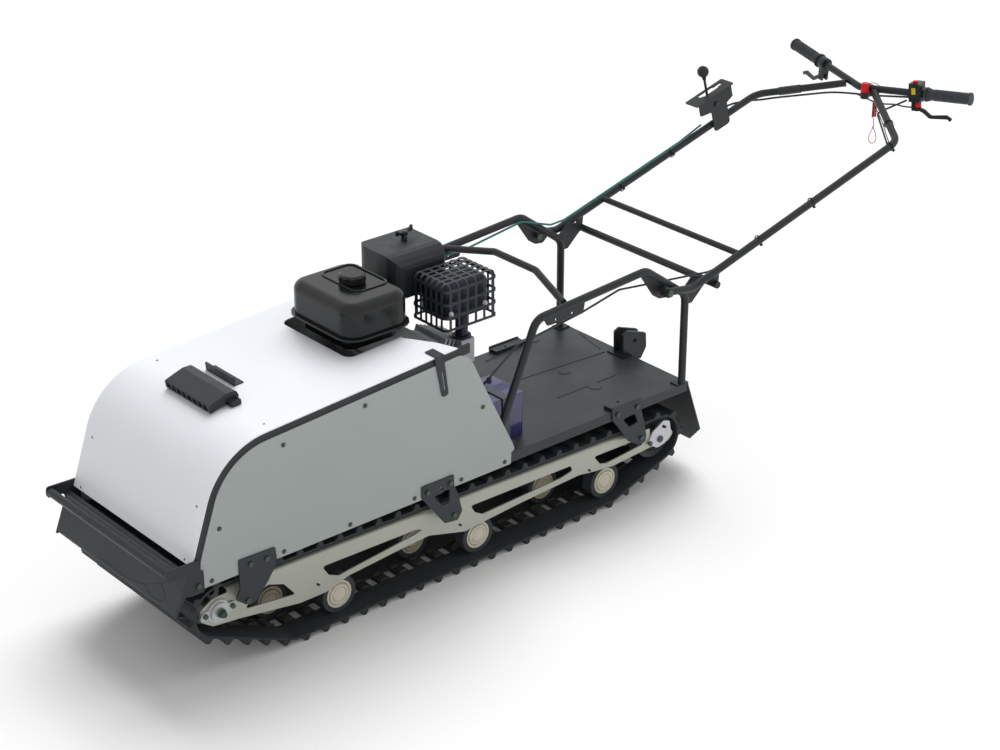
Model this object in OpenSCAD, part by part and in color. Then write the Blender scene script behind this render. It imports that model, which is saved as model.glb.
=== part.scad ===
// Walk-behind tracked snow tow vehicle: a bonnet with an engine at the front, a load deck
// at the rear, one wide rubber track below and a folding handlebar frame behind.
// Units are millimetres. +X points to the nose, +Y to the left side, +Z up, ground at Z = 0.

/* [Track] */
// width of the rubber belt
belt_w = 500; // [470:2:500]
// thickness of the belt band
belt_t = 6; // [5:0.5:7]
// height of the cross lugs
lug_h = 15; // [12:1:16]
// spacing of the lugs, and of the sprocket teeth, along the belt
lug_pitch = 62.6; // [61.5:0.1:63.5]
// outside radius of a road wheel
wheel_r = 52.5; // [50:0.5:54]
// width of a road wheel tyre
wheel_w = 36; // [28:1:38]
// outside radius of the two rear idler wheels
idler_r = 66; // [60:1:68]
// diameter of every track axle
axle_d = 20; // [16:1:24]

/* [Body] */
// height of the deck's top face
deck_z = 308; // [306:1:312]
// width of the load deck
deck_w = 515; // [508:1:516]
// sheet thickness of the deck, hood and flap
sheet_t = 3; // [2:0.5:4]
// outer radius of the hood's front bend
hood_r = 199; // [190:1:206]
// width of the dark seal between the hood and a side panel
seal_w = 22; // [16:1:28]
// thickness of a side panel
panel_t = 2.5; // [2:0.5:4]
// diameter of the nose bumper tube
bumper_d = 22; // [18:1:26]

/* [Engine] */
// length of the fuel tank along the vehicle
tank_l = 203; // [190:1:210]
// width of the fuel tank
tank_w = 267; // [250:1:274]
// height of the fuel tank above its seam
tank_h = 88; // [80:1:92]
// diameter of the fuel cap
cap_d = 72; // [60:1:78]
// width of the flat strips of the muffler guard
strip_w = 7; // [5:0.5:10]

/* [Frame and handlebar] */
// diameter of the frame and handlebar tubes
tube_d = 22; // [19:0.5:22]
// diameter of the hinge bolts
bolt_d = 12; // [10:0.5:14]
// diameter of a grip
grip_d = 34; // [30:1:38]
// length of a grip
grip_l = 144; // [120:1:150]
// diameter of the shift knob
knob_d = 36; // [28:1:40]
// diameter of a control cable
cable_d = 6; // [4:0.5:7]

/* [Kill switch cord] */
// diameter of the cord
cord_d = 2.4; // [2:0.1:2.8]
// outside diameter of the curls
curl_d = 15; // [12:0.5:16]
// height of one curl
curl_rise = 3.2; // [3:0.1:3.6]

/* [Hidden] */
$fn = 32;
run_gap = 0.05;
seat_gap = 0.2;
face_gap = 0.4;
teeth = 7;
deck_y = deck_w / 2;
belt_y = belt_w / 2;
// the body's sides stand clear of the deck and of the belt
body_y = max(deck_y, belt_y + 7.5);
pitch_r = teeth * lug_pitch / (2 * PI);
hub_z = lug_h + belt_t + wheel_r;
drive_x = 1256;
drive_z = 190;
idler_x = -246;
idler_z = 153;
outer_hubs = [873, 407, -59];
inner_hubs = [1025, 559, 93];
carrier_x = [949, 483, 17];
carrier_z = 141;
outer_wheel_y = belt_y - 47;
inner_wheel_y = belt_y - 138;
window_y = belt_y - 95;
window_w = 40;
window_l = 26;
tooth_w = 12;
panel_in = body_y + 10;
panel_out = panel_in + panel_t;
sill_y = panel_in - seat_gap;
rail_y = belt_y - 7;
rail_t = 4;
rail_slope = 1.3;
side_y = panel_in - face_gap - 22 / 2;
handle_y = side_y + 22 + 1;
hinge = [-219, 625];
bracket_in = panel_out + seat_gap;
bracket_t = 4;
bracket_out = bracket_in + bracket_t;

function unit(v) = v / norm(v);
function turn_angle(a, b, c) = acos(unit(b - a) * unit(c - b));
function setback(a, b, c, r) = r * tan(turn_angle(a, b, c) / 2);
function side_of(p, s) = [p[0], s * p[1], p[2]];

module both_sides() {
  children();
  mirror([0, 1, 0])
    children();
}

// a flat shape drawn in the X-Z plane, as a plate from y to y + t
module plate(y, t) {
  translate([0, y + t, 0])
    rotate([90, 0, 0])
      linear_extrude(t)
        children();
}

module cross_rod(x, z, y0, y1, d) {
  translate([x, y1, z])
    rotate([90, 0, 0])
      cylinder(d = d, h = y1 - y0);
}

module straight(p, q, d) {
  v = q - p;
  translate(p)
    rotate([0, acos(v[2] / norm(v)), atan2(v[1], v[0])])
      cylinder(d = d, h = norm(v));
}

module bend(a, b, c, d, r) {
  u = unit(b - a);
  w = unit(c - b);
  n = unit(cross(u, w));
  out = cross(u, n);
  m = b - u * setback(a, b, c, r) - out * r;
  multmatrix([
    [out[0], u[0], n[0], m[0]],
    [out[1], u[1], n[1], m[1]],
    [out[2], u[2], n[2], m[2]],
    [0, 0, 0, 1]
  ])
    rotate_extrude(angle = turn_angle(a, b, c))
      translate([r, 0])
        circle(d = d);
}

// a round bar along points, with a bend of radius r at each inner point
module bent_rod(p, d, r) {
  n = len(p);
  for (i = [0 : n - 2]) {
    u = unit(p[i + 1] - p[i]);
    from = i == 0 ? 0 : setback(p[i - 1], p[i], p[i + 1], r) - 0.5;
    to = i == n - 2 ? 0 : setback(p[i], p[i + 1], p[i + 2], r) - 0.5;
    straight(p[i] + u * from, p[i + 1] - u * to, d - 0.1);
  }
  for (i = [1 : 1 : n - 2])
    bend(p[i - 1], p[i], p[i + 1], d, r);
}

// corner points given as [x, z, radius], each rounded by short straight steps
function corner(a, b, c) =
  let (
    p = [a[0], a[1]],
    q = [b[0], b[1]],
    s = [c[0], c[1]],
    u = unit(p - q),
    w = unit(s - q),
    half = acos(u * w) / 2,
    len_t = b[2] / tan(half),
    m = q + unit(u + w) * b[2] / sin(half),
    from = q + u * len_t - m,
    to = q + w * len_t - m,
    a0 = atan2(from[1], from[0]),
    da = (atan2(to[1], to[0]) - a0 + 540) % 360 - 180
  )
  b[2] == 0 ? [q] : [for (i = [0 : 4]) m + b[2] * [cos(a0 + da * i / 4), sin(a0 + da * i / 4)]];
function rounded(p) =
  [for (i = [0 : len(p) - 1])
    for (q = corner(p[(i + len(p) - 1) % len(p)], p[i], p[(i + 1) % len(p)])) q];

module outline(p) {
  polygon(rounded(p));
}

// a box with corners of radius big seen from above and a top edge of radius small
module soft_box(size, big, small) {
  module half_profile() {
    difference() {
      square([big, size[2]]);
      translate([big - small, size[2] - small])
        difference() {
          square(small + 1);
          circle(r = small);
        }
    }
  }
  lx = size[0] - 2 * big;
  ly = size[1] - 2 * big;
  for (sx = [0, 1], sy = [0, 1])
    translate([big + sx * lx, big + sy * ly, 0])
      rotate_extrude()
        half_profile();
  for (s = [0, 1]) {
    translate([big + s * lx, s == 0 ? big : big + ly, 0])
      rotate([0, 0, s == 0 ? 180 : 0])
        translate([0, -ly, 0])
          rotate([90, 0, 180])
            mirror([1, 0, 0])
              linear_extrude(ly)
                half_profile();
    translate([big, big + s * ly, 0])
      rotate([90, 0, 90])
        mirror([s == 0 ? 1 : 0, 0, 0])
          linear_extrude(lx)
            half_profile();
  }
  translate([big, big, 0])
    cube([lx, ly, size[2]]);
}

// the belt's centre line: [x, z, radius] of the circles that it runs round
belt_rings = [
  [idler_x, idler_z, idler_r + 1 + belt_t / 2],
  [outer_hubs[2], hub_z, wheel_r + belt_t / 2],
  [inner_hubs[0], hub_z, wheel_r + belt_t / 2],
  [drive_x, drive_z, pitch_r]
];
function ring(i) = belt_rings[i % 4];
function step_to(i) = ring(i + 1) - ring(i);
function flat_len(v) = norm([v[0], v[1]]);
function off_angle(i) =
  atan2(step_to(i)[1], step_to(i)[0]) - acos(-step_to(i)[2] / flat_len(step_to(i)));
function run_len(i) = sqrt(pow(flat_len(step_to(i)), 2) - pow(step_to(i)[2], 2));
function sweep(i) = (off_angle((i + 1) % 4) - off_angle(i % 4) + 720) % 360;
function arc_len(i) = ring(i + 1)[2] * sweep(i) * PI / 180;
belt_len = run_len(0) + arc_len(0) + run_len(1) + arc_len(1) + run_len(2) + arc_len(2)
  + run_len(3) + arc_len(3);
lug_count = round(belt_len / lug_pitch);
lug_step = belt_len / lug_count;
drive_mid = run_len(0) + arc_len(0) + run_len(1) + arc_len(1) + run_len(2) + arc_len(2) / 2;
tooth_angle = off_angle(2) + sweep(2) / 2;
function on_belt(s, i = 0) =
  s < run_len(i) ?
    [ring(i)[0] + ring(i)[2] * cos(off_angle(i)) - s * sin(off_angle(i)),
     ring(i)[1] + ring(i)[2] * sin(off_angle(i)) + s * cos(off_angle(i)), off_angle(i)]
  : s < run_len(i) + arc_len(i) ?
    let (a = off_angle(i) + (s - run_len(i)) / ring(i + 1)[2] * 180 / PI)
    [ring(i + 1)[0] + ring(i + 1)[2] * cos(a), ring(i + 1)[1] + ring(i + 1)[2] * sin(a), a]
  : on_belt(s - run_len(i) - arc_len(i), (i + 1) % 4);
function belt_point(s, off) =
  let (q = on_belt((s + belt_len) % belt_len))
  [q[0] + off * cos(q[2]), q[1] + off * sin(q[2])];
function lug_points(k) =
  let (s = drive_mid + (k + 0.5) * lug_step, h = belt_t / 2, gap = lug_step - 24)
  concat(
    [belt_point(s - 12, h), belt_point(s - 5, h + lug_h), belt_point(s + 5, h + lug_h),
     belt_point(s + 12, h)],
    on_belt((s + 12) % belt_len)[2] == on_belt((s + 12 + gap) % belt_len)[2] ? [] :
      [for (f = [1 : 3]) belt_point(s + 12 + gap * f / 4, h)]
  );
function inner_points(i, n) =
  [for (k = [0 : n])
    let (a = off_angle(i) + sweep(i) * k / n, r = ring(i + 1)[2] - belt_t / 2)
    [ring(i + 1)[0] + r * cos(a), ring(i + 1)[1] + r * sin(a)]];

module track_belt() {
  outer = [for (k = [0 : lug_count - 1]) for (q = lug_points(k)) q];
  inner = concat(inner_points(0, 4), inner_points(1, 3), inner_points(2, 20),
    inner_points(3, 16));
  color([0.13, 0.15, 0.16])
    difference() {
      plate(-belt_y, belt_w)
        difference() {
          polygon(outer);
          polygon(inner);
        }
      for (k = [0 : lug_count - 1]) {
        q = on_belt((drive_mid + k * lug_step) % belt_len);
        translate([q[0], 0, q[1]])
          rotate([0, -q[2], 0])
            for (s = [-1, 1])
              translate([0, s * window_y, 0])
                cube([3 * belt_t, window_w, window_l], center = true);
      }
    }
}

module sprocket() {
  plate(-tooth_w / 2, tooth_w)
    difference() {
      union() {
        circle(r = pitch_r - belt_t / 2 - 8);
        for (k = [0 : teeth - 1])
          rotate(tooth_angle + k * 360 / teeth)
            polygon([
              [pitch_r - 20, -13], [pitch_r - 4, -8], [pitch_r + 6, -5],
              [pitch_r + 6, 5], [pitch_r - 4, 8], [pitch_r - 20, 13]
            ]);
      }
      for (k = [0 : 5])
        rotate(k * 60)
          translate([36, 0])
            circle(d = 20);
    }
}

module drive_axle() {
  color([0.55, 0.56, 0.58])
    translate([drive_x, 0, drive_z]) {
      cross_rod(0, 0, -panel_in + 4, panel_in - 4, axle_d + 5);
      for (s = [-1, 1])
        translate([0, s * window_y, 0]) {
          sprocket();
          cross_rod(0, 0, -20, 20, 48);
        }
    }
}

module tyre_ring(r, w, rim_r) {
  plate(-w / 2, w)
    difference() {
      circle(r = r);
      circle(r = rim_r);
    }
}

// a rim seen from its outer face at +Y: dish, raised ring, hub cap and six bolts
module rim(r, w) {
  rotate([-90, 0, 0])
    rotate_extrude()
      polygon([
        [axle_d / 2 - 1, -w / 2 + 4], [24, -w / 2 + 4], [24, -4], [r - 6, -4], [r - 6, -w / 2],
        [r, -w / 2], [r, w / 2], [r - 4, w / 2], [r - 8, w / 2 - 6], [29, w / 2 - 6],
        [28, w / 2 + 1], [23, w / 2 + 1], [22, w / 2 - 2], [18, w / 2 + 2],
        [axle_d / 2 - 1, w / 2 + 2]
      ]);
  for (k = [0 : 5])
    rotate([0, k * 60 + 30, 0])
      translate([r - 11, w / 2 - 7, 0])
        rotate([-90, 0, 0])
          cylinder(d = 8, h = 4);
}

module rim_pair(x, z, y, r, w) {
  translate([x, 0, z]) {
    cross_rod(0, 0, -y - w / 2 - 3, y + w / 2 + 3, axle_d);
    both_sides()
      translate([0, y, 0])
        rim(r, w);
  }
}

module tyre_pair(x, z, y, r, w, rim_r) {
  both_sides()
    translate([x, y, z])
      tyre_ring(r, w, rim_r);
}

tyre_r = wheel_r - face_gap;
rim_r = wheel_r - 14;

module outer_rims(i) {
  color([0.83, 0.82, 0.72])
    rim_pair(outer_hubs[i], hub_z, outer_wheel_y, rim_r - 0.1, wheel_w);
}

module outer_tyres(i) {
  color([0.18, 0.2, 0.22])
    tyre_pair(outer_hubs[i], hub_z, outer_wheel_y, tyre_r, wheel_w, rim_r);
}

module inner_wheels(i) {
  color([0.78, 0.77, 0.7]) {
    rim_pair(inner_hubs[i], hub_z, inner_wheel_y, rim_r - 0.1, wheel_w);
    tyre_pair(inner_hubs[i], hub_z, inner_wheel_y, tyre_r, wheel_w, rim_r);
  }
}

module outer_rims_front() {
  outer_rims(0);
}

module outer_rims_middle() {
  outer_rims(1);
}

module outer_rims_rear() {
  outer_rims(2);
}

module outer_tyres_front() {
  outer_tyres(0);
}

module outer_tyres_middle() {
  outer_tyres(1);
}

module outer_tyres_rear() {
  outer_tyres(2);
}

module inner_wheels_front() {
  inner_wheels(0);
}

module inner_wheels_middle() {
  inner_wheels(1);
}

module inner_wheels_rear() {
  inner_wheels(2);
}

module rear_idlers() {
  color([0.3, 0.31, 0.33])
    translate([idler_x, 0, idler_z]) {
      cross_rod(0, 0, -panel_in + 16, panel_in - 16, axle_d);
      for (y = [-outer_wheel_y, outer_wheel_y])
        translate([0, y, 0]) {
          tyre_ring(idler_r, wheel_w, idler_r - 14);
          rotate([0, 0, y > 0 ? 0 : 180])
            rim(idler_r - 14, wheel_w - 4);
        }
    }
}

rail_window_a = [[1177, 161, 4], [1150, 187, 10], [1105, 203, 14], [1058, 186, 6], [1023, 143, 3]];
rail_window_b = [[940, 190, 6], [919, 158, 10], [888, 144, 14], [856, 148, 20], [640, 170, 6],
  [612, 177, 2], [640, 184, 6]];
rail_window_c = [[451, 187, 5], [435, 162, 10], [409, 147, 12], [380, 148, 12], [131, 156, 8],
  [83, 164, 6], [92, 182, 7]];
rail_window_d = [[5, 180, 4], [-18, 150, 8], [-43, 143, 10], [-188, 155, 3], [-170, 167, 3],
  [-138, 178, 4]];
rail_web = [
  [-209, 196, 0], [1225, 228.5, 0], [1270, 226, 16], [1306, 205, 14], [1308, 176, 14],
  [1272, 150, 16], [1191, 141, 20], [1011, 112, 20], [928, 112, 20], [857, 132, 20],
  [690, 145, 20], [593, 150, 20], [470, 117, 20], [390, 124, 20], [276, 132, 20],
  [131, 139, 20], [60, 142, 20], [7, 134, 20], [-69, 126, 20], [-237, 137, 10],
  [-284, 133, 10], [-303, 152, 9], [-290, 172, 8], [-262, 166, 6], [-233, 152, 6], [-211, 166, 6]
];

module rail() {
  difference() {
    plate(rail_y - rail_t, rail_t)
      difference() {
        outline(rail_web);
        outline(rail_window_a);
        outline(rail_window_b);
        outline(rail_window_c);
        outline(rail_window_d);
        translate([drive_x, drive_z])
          circle(d = 52);
        for (x = carrier_x)
          translate([x + 4, carrier_z + 2])
            rotate(40)
              square([14, 6], center = true);
      }
    cross_rod(idler_x, idler_z, rail_y - 43, rail_y + 17, axle_d + 12);
  }
  translate([508, 0, 212.25])
    rotate([0, -rail_slope, 0])
      translate([-670, 0, 0])
        rotate([90, 0, 90])
          linear_extrude(1387)
            difference() {
              union() {
                translate([rail_y - 14, -2])
                  intersection() {
                    circle(r = 14);
                    square(14);
                  }
                translate([rail_y - 44, 8])
                  square([30, 4]);
              }
              translate([rail_y - 14, -2])
                circle(r = 10);
            }
}

module rails() {
  color([0.72, 0.71, 0.66])
    both_sides()
      rail();
}

module flange_plate() {
  difference() {
    union() {
      circle(d = 62);
      for (s = [-1, 1])
        translate([s * 40, 0])
          circle(d = 24);
      square([80, 24], center = true);
    }
    circle(d = axle_d + 5 + 2 * run_gap);
    for (s = [-1, 1])
      translate([s * 40, 0])
        circle(d = 9);
  }
}

module axle_mounts() {
  color([0.78, 0.78, 0.79])
    both_sides() {
      translate([drive_x, 0, drive_z]) {
        plate(rail_y + seat_gap, 6)
          flange_plate();
        plate(rail_y + 6, 8)
          difference() {
            circle(d = 50);
            circle(d = axle_d + 5 + 2 * run_gap);
          }
      }
      plate(rail_y + seat_gap, 5)
        difference() {
          outline([[-290, 158, 12], [-282, 200, 10], [-258, 207, 10], [-216, 184, 10],
            [-200, 150, 12], [-236, 128, 16], [-268, 134, 16]]);
          translate([idler_x, idler_z])
            circle(d = axle_d + 2 * run_gap);
          translate([-261, 187])
            rotate(35)
              square([18, 8], center = true);
          translate([-206, 152])
            circle(d = 9);
        }
    }
}

module hanger(y, x, z) {
  plate(y - 3, 6)
    difference() {
      union() {
        translate([x, z])
          circle(r = 20);
        outline([
          [carrier_at(x) - 17, carrier_z + 4, 0], [carrier_at(x) + 17, carrier_z + 4, 0],
          [x + 18, z + 6, 0], [x - 18, z + 6, 0]
        ]);
      }
      translate([x, z])
        circle(d = axle_d + 2 * run_gap);
    }
}
function carrier_at(x) = carrier_x[x > 700 ? 0 : x > 250 ? 1 : 2];

module suspension_tubes() {
  color([0.2, 0.22, 0.23]) {
    for (x = carrier_x)
      cross_rod(x, carrier_z + 6, -rail_y + rail_t + seat_gap, rail_y - rail_t - seat_gap, 34);
    for (p = [[533, 196], [-120, 183]])
      cross_rod(p[0], p[1], -rail_y + rail_t + seat_gap, rail_y - rail_t - seat_gap, 26);
    both_sides() {
      for (x = outer_hubs)
        hanger(outer_wheel_y - wheel_w / 2 - 12, x, hub_z);
      for (x = inner_hubs)
        hanger(inner_wheel_y - wheel_w / 2 - 14, x, hub_z);
    }
  }
}

module rib(x0, y0, x1, y1) {
  translate([0, 0, deck_z - 1.5])
    straight([x0, y0, 0], [x1, y1, 0], 7);
}

module deck() {
  color([0.24, 0.26, 0.27]) {
    difference() {
      union() {
        translate([-338, -deck_y, deck_z - sheet_t])
          cube([1668, deck_w, sheet_t]);
        both_sides() {
          translate([-338, deck_y - sheet_t, deck_z - 29])
            cube([1668, sheet_t, 29]);
          translate([334, deck_y, deck_z - 23])
            cube([976, sill_y - deck_y, 23]);
        }
        translate([-338, -deck_y, deck_z - 29])
          cube([sheet_t, deck_w, 29]);
      }
      translate([1160, -300, 200])
        cube([150, 300 - belt_y + 3, 250]);
    }
    rib(-202, -220, 8, -215);
    rib(-342 + 14, -182, -300, -65);
    rib(8, -61, -294, 22 - 60);
    rib(8, 95, -291, 93);
    translate([-120, 0, 0])
      for (y = [-20, 110])
        translate([0, y, deck_z - 1])
          cylinder(r1 = 24, r2 = 20, h = 3, $fn = 48);
  }
}

hood_c = [1096.6, 439.3];
lean_a = 19.09;
top_a = 86.31;
bend_steps = 32;
lean_n = [cos(lean_a), sin(lean_a)];
top_n = [cos(top_a), sin(top_a)];
function lean_point(off, t) = hood_c + (hood_r - off) * lean_n + t * [lean_n[1], -lean_n[0]];
function top_point(off, t) = hood_c + (hood_r - off) * top_n + t * [-top_n[1], top_n[0]];

// everything under the hood's outer face moved in by off, from y to y + t
module hood_body(off, y, t) {
  plate(y, t)
    polygon(concat(
      [[0, 200], lean_point(off, 240)],
      [for (i = [0 : bend_steps])
        let (a = lean_a + (top_a - lean_a) * i / bend_steps)
        hood_c + (hood_r - off) * [cos(a), sin(a)]],
      [top_point(off, 1100)]
    ));
}
function hood_top(x) = top_point(0, (top_point(0, 0)[0] - x) / top_n[1])[1];
module on_hood(x) {
  translate([x, 0, hood_top(x)])
    rotate([0, 90 - top_a, 0])
      children();
}

module panel_shape() {
  intersection() {
    hood_body(seal_w, panel_in, panel_t);
    plate(panel_in, panel_t)
      outline([
        [1322, 284, 4], [1312, 352, 0], [1300, 700, 0], top_with(1300), top_with(479, 62),
        [424, 540, 40], [323, 335, 4], [321, 324, 3], [332, 317, 3], [333, 284, 4]
      ]);
  }
}
function top_with(x, r = 0) =
  let (p = top_point(seal_w, 0))
  [x, p[1] + (p[0] - x) * (top_n[0] / top_n[1]) + (x > 1200 ? 30 : 0), r];

module side_panel() {
  difference() {
    panel_shape();
    for (p = panel_holes)
      cross_rod(p[0], p[1], panel_in - 1, panel_out + 1, 7);
  }
}
panel_holes = [
  [1284, 297], [1071, 297], [867, 297], [660, 297], [504, 297], [355, 297], [1254, 429],
  [1059, 588], [810, 612], [430, 484]
];

module panel_left() {
  color([0.6, 0.62, 0.61])
    side_panel();
}

module panel_right() {
  color([0.6, 0.62, 0.61])
    mirror([0, 1, 0])
      side_panel();
}

module edge_seals() {
  color([0.16, 0.17, 0.18])
    both_sides()
      difference() {
        intersection() {
          hood_body(sheet_t + 0.1, panel_in - 8, 8 - seat_gap);
          plate(panel_in - 8, 8 - seat_gap)
            polygon([
              [1400, 353], [1400, 760], [470, 760], [470, 620], [540, 620], [1100, 500],
              [1270, 353]
            ]);
        }
        hood_body(seal_w + 6, panel_in - 9, 10);
      }
}

module hood() {
  color([0.93, 0.94, 0.95])
    difference() {
      intersection() {
        hood_body(0, -panel_in, 2 * panel_in);
        translate([511, -panel_in - 1, 353])
          cube([900, 2 * panel_in + 2, 500]);
      }
      hood_body(sheet_t, -panel_in - 1, 2 * panel_in + 2);
      translate([0, 0, 600])
        linear_extrude(100)
          outline([[741, -180, 25], [741, 114, 25], [430, 114, 0], [430, -180, 0]]);
      both_sides()
        translate([0, 0, 600])
          linear_extrude(100)
            polygon([[572, 100], [572, 125], [529, 207], [510, 270], [400, 270], [400, 100]]);
    }
}

module bumper_bar() {
  color([0.14, 0.15, 0.16])
    cross_rod(1403, 357, -panel_out, panel_out, bumper_d);
}

module skid_plate() {
  color([0.2, 0.22, 0.23]) {
    both_sides()
      difference() {
        plate(bracket_in, bracket_t)
          outline([
            [1414, 350, 8], [1412, 372, 8], [1318, 369, 0], [1316, 340, 0], [1308, 336, 3],
            [1308, 278, 4], [1346, 278, 6], [1361, 283, 6], [1376, 264, 4], [1391, 232, 3],
            [1397, 234, 3], [1360, 328, 10], [1366, 339, 8], [1408, 341, 4]
          ]);
        cross_rod(1325, 300, panel_in - 7, bracket_out + 1, bolt_d - 3);
      }
    cross_rod(1352, 336, -bracket_in - 1, bracket_in + 1, 16);
    difference() {
      plate(-bracket_in - 1, 2 * bracket_in + 2)
        outline([
          [1349, 339, 0], [1355, 339, 0], [1396, 238, 8], [1360, 222, 0], [1360, 225, 0],
          [1392, 239, 6], [1350, 333, 0]
        ]);
      for (s = [-1, 1])
        translate([1300, s * (panel_in - 5.5) - 20, 190])
          cube([140, 40, 34]);
    }
  }
}

bracket_holes_front = [[1174, 303], [1126, 300]];
module bracket_plate(p, holes, foot) {
  difference() {
    plate(bracket_in, bracket_t)
      difference() {
        outline(p);
        children();
        for (h = holes)
          translate(h)
            circle(d = bolt_d - 3);
      }
    cross_rod(foot[0], foot[1], rail_y, bracket_out + 1, bolt_d - 3);
  }
  difference() {
    cross_rod(foot[0], foot[1], rail_y + seat_gap, bracket_in + 1, 24);
    cross_rod(foot[0], foot[1], rail_y, bracket_out + 1, bolt_d - 3);
  }
}

module front_brackets() {
  color([0.24, 0.27, 0.29])
    both_sides()
      bracket_plate(
        [[1206, 324, 3], [1099, 321, 3], [1096, 289, 3], [1104, 266, 8], [1124, 237, 8],
         [1159, 196, 8], [1180, 188, 8], [1222, 218, 8], [1207, 241, 8]],
        bracket_holes_front, [1187, 205]
      );
}

module middle_brackets() {
  color([0.24, 0.27, 0.29])
    both_sides()
      bracket_plate(
        [[638, 322, 3], [638, 288, 6], [564, 190, 8], [520, 184, 10], [505, 207, 8],
         [517, 256, 6], [532, 293, 4], [532, 322, 3]],
        [[621, 302], [545, 302]], [533, 204]
      ) {
        outline([[601, 283, 4], [572, 246, 6], [548, 246, 4], [546, 284, 4], [560, 288, 3],
          [575, 282, 6]]);
        translate([575, 298])
          circle(d = 10);
      }
}

module rear_bracket() {
  difference() {
    plate(body_y + seat_gap, bracket_t)
      difference() {
        outline([
          [-43, 322, 2], [-45, 284, 6], [-111, 196, 8], [-150, 172, 10], [-174, 174, 8],
          [-178, 194, 8], [-156, 278, 6], [-154, 322, 2]
        ]);
        outline([[-84, 273, 5], [-130, 277, 5], [-143, 246, 4], [-109, 242, 4]]);
        for (x = [-63, -137])
          translate([x, 296])
            circle(d = bolt_d - 3);
      }
    cross_rod(-157, 192, rail_y, bracket_out, bolt_d - 3);
  }
  difference() {
    translate([-154, deck_y - 30, deck_z + 6 + seat_gap])
      cube([111, body_y - deck_y + 30 + seat_gap + bracket_t, bracket_t]);
    translate([-86, deck_y - 20, 0])
      cylinder(d = bolt_d - 3, h = deck_z + 100);
  }
  translate([-154, body_y + seat_gap, deck_z + 2])
    cube([111, bracket_t, 8]);
  translate([-154, deck_y - 30, deck_z + seat_gap])
    cube([111, 4, 6 + bracket_t]);
  difference() {
    cross_rod(-157, 192, rail_y + seat_gap, body_y + 1, 24);
    cross_rod(-157, 192, rail_y, bracket_out, bolt_d - 3);
  }
}

module rear_brackets() {
  color([0.24, 0.27, 0.29])
    both_sides()
      rear_bracket();
}

base_top = 455;
module engine_base() {
  color([0.2, 0.22, 0.23])
    difference() {
      union() {
        for (x = [410, 640])
          translate([x, -150, deck_z + seat_gap])
            cube([30, 260, base_top - deck_z - seat_gap]);
        translate([410, -150, base_top - 8])
          cube([260, 260, 8]);
      }
      translate([400, -120, deck_z + 30])
        cube([280, 200, base_top - deck_z - 60]);
    }
}

shaft_z = 545;
module engine_block() {
  color([0.66, 0.66, 0.68]) {
    translate([440, -95, base_top + seat_gap])
      soft_box([200, 180, 160], 24, 14);
    translate([590, -150, 485])
      soft_box([90, 60, tank_z - 36 - seat_gap - 485], 20, 16);
    translate([446, -32, 540])
      rotate([0, -20, 0]) {
        for (s = [0 : 6])
          translate([-20 - 14 * s, 0, -10])
            cube([7, 126, 88]);
        translate([-110, 20, 0])
          cube([130, 84, 66]);
      }
    translate([330, 66, 530])
      cube([44, 52, 70]);
    cross_rod(530, shaft_z, 80, 127.8, 60);
    difference() {
      cross_rod(530, shaft_z, -190, -94, 176);
      for (k = [0 : 11])
        translate([530, -188, shaft_z])
          rotate([0, k * 30, 0])
            translate([62, 0, 0])
              cube([34, 20, 8], center = true);
    }
  }
}

module variator_cover() {
  color([0.3, 0.31, 0.33])
    difference() {
      union() {
        cross_rod(530, shaft_z, 128, 190, 184);
        cross_rod(1120, 440, 128, 190, 216);
        plate(128.5, 61)
          polygon([[545, 630], [1138, 540], [1102, 340], [515, 461]]);
      }
      cross_rod(1120, 440, 100, 200, 44);
    }
}

module chain_case() {
  color([0.3, 0.31, 0.33]) {
    difference() {
      union() {
        cross_rod(drive_x, drive_z, -panel_in + 1.2, -panel_in + 9.5, 84);
        cross_rod(1228, 380, -panel_in + 1.2, -panel_in + 9.5, 92);
        plate(-panel_in + 1.4, 7.9)
          polygon([[drive_x - 40, drive_z - 8], [1183, 376], [1273, 384],
            [drive_x + 40, drive_z + 6]]);
      }
      cross_rod(drive_x, drive_z, -panel_in - 1, -panel_in + 20, axle_d + 5 + 2 * run_gap);
    }
    translate([1060, -240, deck_z + seat_gap])
      soft_box([200, 340, 186], 30, 20);
    cross_rod(1228, 380, -panel_in + 8.5, -200, 60);
    cross_rod(1120, 440, 90, 127.8, 90);
  }
}

tank_z = 697;
tank_x = 731 - tank_l;
tank_y = -158;
module fuel_tank() {
  color([0.06, 0.065, 0.07]) {
    difference() {
      union() {
        translate([tank_x, tank_y, tank_z + 6])
          soft_box([tank_l, tank_w, tank_h], 46, 26);
        translate([tank_x - 8, tank_y - 8, tank_z])
          linear_extrude(6)
            outline([[0, 0, 50], [tank_l + 16, 0, 50], [tank_l + 16, tank_w + 16, 50],
              [0, tank_w + 16, 50]]);
        translate([cap_x, cap_y, tank_z + tank_h])
          cylinder(d = cap_d - 24, h = 16);
      }
      translate([cap_x, cap_y, tank_z + 30])
        cylinder(d = cap_d - 34, h = 100);
    }
    translate([tank_x + 20, tank_y + 30, tank_z - 36])
      linear_extrude(37)
        outline([[0, 0, 26], [tank_l - 40, 0, 26], [tank_l - 40, tank_w - 60, 26],
          [0, tank_w - 60, 26]]);
  }
}

cap_x = 616;
cap_y = -28;
cap_z = tank_z + 6 + tank_h + 2;
module fuel_cap() {
  color([0.16, 0.18, 0.19])
    translate([cap_x, cap_y, cap_z])
      difference() {
        union() {
          cylinder(d = cap_d - 6, h = 4);
          translate([0, 0, 4])
            cylinder(d = cap_d, h = 14);
          translate([0, 0, 18])
            cylinder(d1 = cap_d, d2 = cap_d - 14, h = 5);
        }
        for (k = [0 : 9])
          rotate(k * 36)
            translate([cap_d / 2 + 5, 0, 3])
              cylinder(d = 15, h = 30);
        translate([0, 0, -1])
          cylinder(d = cap_d - 24 + 2 * run_gap, h = 12);
      }
}

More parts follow.
